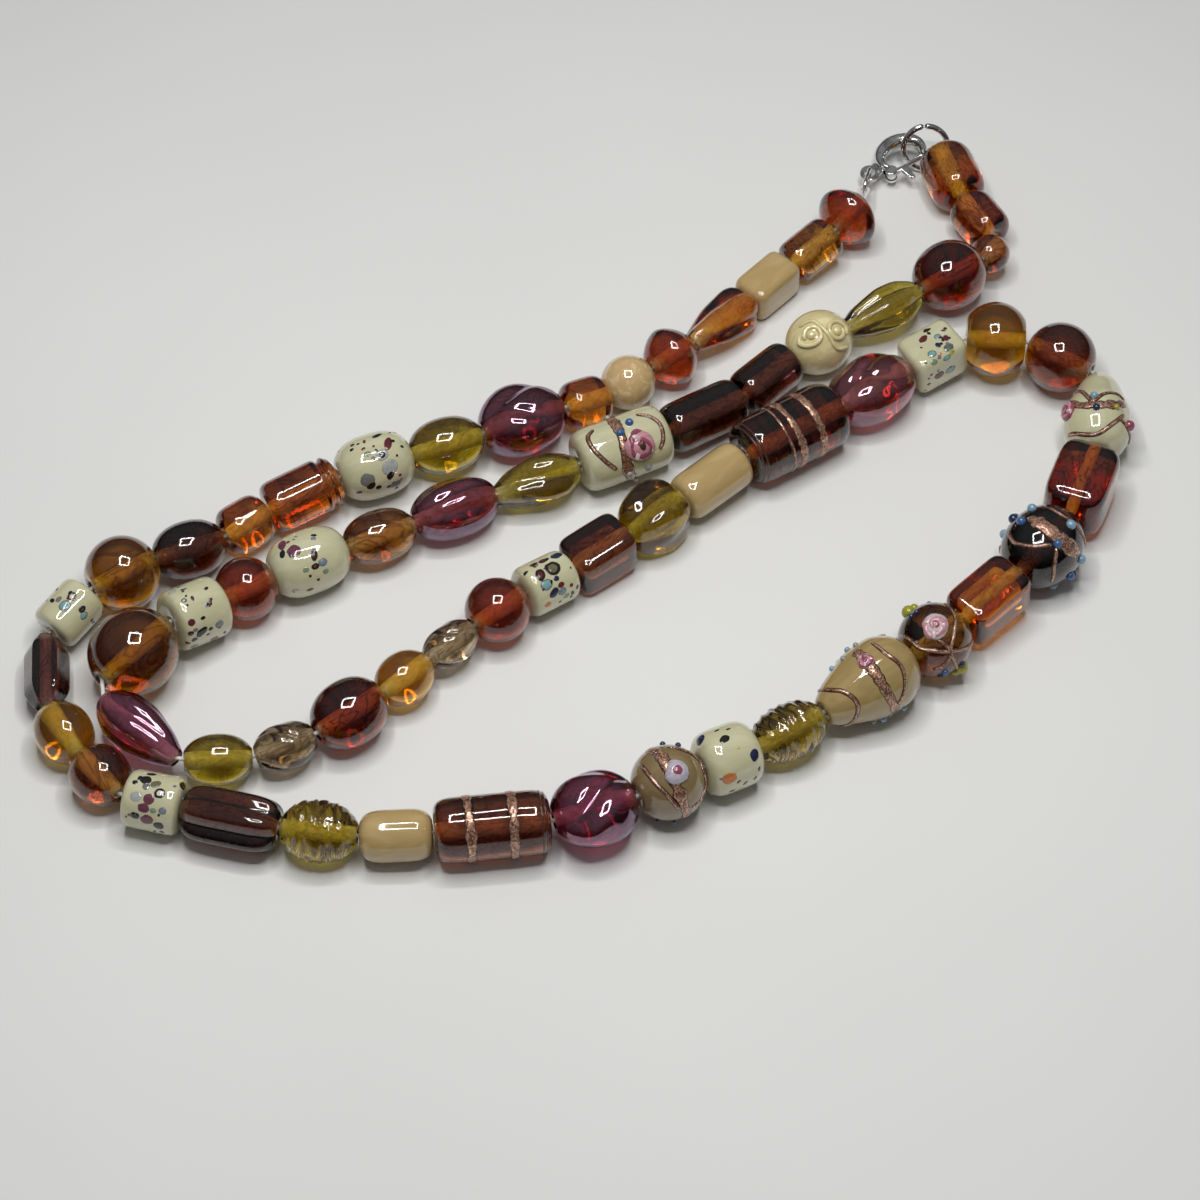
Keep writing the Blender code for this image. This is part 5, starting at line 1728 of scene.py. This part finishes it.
thumb = THUMB_U - PIVOT_U
lever_end = Vector((LEVER_END_U - PIVOT_U, LEVER_END_W - PIVOT_W, 0))
lever_outline = (
    (0, -half_width * 1.6), (thumb - THUMB_WIDTH / 2, -half_width),
    (thumb - THUMB_WIDTH * 0.3, -THUMB_LENGTH),
    (thumb + THUMB_WIDTH * 0.3, -THUMB_LENGTH - half_width * 0.3),
    (thumb + THUMB_WIDTH / 2, -half_width * 0.8),
    (lever_end.x, lever_end.y - half_width), (lever_end.x + half_width * 0.5, lever_end.y),
    (lever_end.x, lever_end.y + half_width * 0.5), (thumb, half_width * 0.5), (0, half_width * 1.6),
    (-(PIN_RADIUS + PIN_CLEARANCE + half_width * 0.4), 0),
)
cast_together(
    "sprung_lever",
    plate([Vector((*corner, 0)) for corner in lever_outline], LEVER_THICKNESS, 0.16 * MM, 3, pivot),
    added=[disc(CHEEK_RADIUS - LEVER_CLEARANCE, LEVER_THICKNESS * 0.98, pivot)],
    cut=[disc(PIN_RADIUS + PIN_CLEARANCE, LEVER_THICKNESS * 2, pivot)],
    pinned=[], node_name="clasp_lever", body="lever",
)


# Two rings of the same wire metal join it to the string: a long link between the eye and the thread,
# and a large open jump ring that the claw holds. The thread's loops close the string round them.
LINK_LENGTH = 7.2 * MM
LINK_WIDTH = 3.8 * MM
LINK_WIRE = 0.38 * MM
LINK_PAST_EYE = 0.3 * MM
RING_RADIUS = 4.1 * MM
RING_WIRE = 0.55 * MM
RING_PASS = (8.2 * MM, 0.7 * MM)
RING_LEAN = 62
RING_SPLIT = 96
RING_SLIT = 1.4
RING_HOLD = -28

first_mouth, first_inner = ends[0]
reach = (EYE_PLACE - first_mouth).normalized()
flat = clasp.col[2].to_3d().cross(reach).normalized()
standing = reach.cross(flat).normalized()
bend = LINK_WIDTH / 2 - LINK_WIRE
straight = reach * (LINK_LENGTH / 2 - LINK_WIRE - bend)
link_middle = EYE_PLACE - reach * (LINK_LENGTH / 2 - LINK_WIRE - LINK_PAST_EYE)
link_points = arc(link_middle + straight, reach, standing, bend, bend, -90, 90, 24)
link_points += arc(link_middle - straight, reach, standing, bend, bend, 90, 270, 24)
show_piece("wire_link", wire_along(link_points, LINK_WIRE, closed=True), [silver], "clasp_link")

lean = math.radians(RING_LEAN)
slope = Vector((0, math.cos(lean), math.sin(lean)))
level = Vector((1, 0, 0))
held_in_claw = clasp @ Vector((*RING_PASS, 0))
below = (held_in_claw.z - RING_RADIUS * math.sin(lean) - RING_WIRE) / math.sin(lean)
ring_centre = held_in_claw - slope * below + level * math.sqrt(RING_RADIUS**2 - below**2)
ring_points = arc(
    ring_centre, level, slope, RING_RADIUS, RING_RADIUS, RING_SPLIT + RING_SLIT,
    360 + RING_SPLIT - RING_SLIT, 72,
)
show_piece("open_jump_ring", wire_along(ring_points, RING_WIRE), [silver], "jump_ring")
hold = math.radians(RING_HOLD)
held = ring_centre + (level * math.cos(hold) + slope * math.sin(hold)) * RING_RADIUS
ring_along = slope * math.cos(hold) - level * math.sin(hold)


def thread_loop(name, mouth, bead_axis, wire_point, wire_run, wire_radius, string):
    """The loop at an end of the thread: out of the bead's mouth, round a wire and back."""
    across = wire_run.cross(wire_point - mouth).normalized()
    out = across.cross(wire_run).normalized()
    round_wire = wire_radius + LOOP_RADIUS + LOOP_CLEARANCE
    turn_back = arc(wire_point, out, across, round_wire, round_wire, -100, 100, 19)
    leg = across * (LOOP_RADIUS + LOOP_CLEARANCE)
    inside = mouth - bead_axis * LOOP_BITE
    points = run_between([inside - leg, *turn_back, inside + leg], 0.3 * MM)
    show_piece(name, wire_along(points, LOOP_RADIUS, sides=12, twist=1.6 * MM), [white_thread], string)


thread_loop(
    "thread_loop_link", first_mouth, (first_mouth - first_inner).normalized(),
    link_middle - straight - reach * bend, standing, LINK_WIRE, STRING_NAMES[0],
)
last_inner, last_mouth = ends[-1]
thread_loop(
    "thread_loop_ring", last_mouth, (last_mouth - last_inner).normalized(), held, ring_along, RING_WIRE,
    STRING_NAMES[1],
)
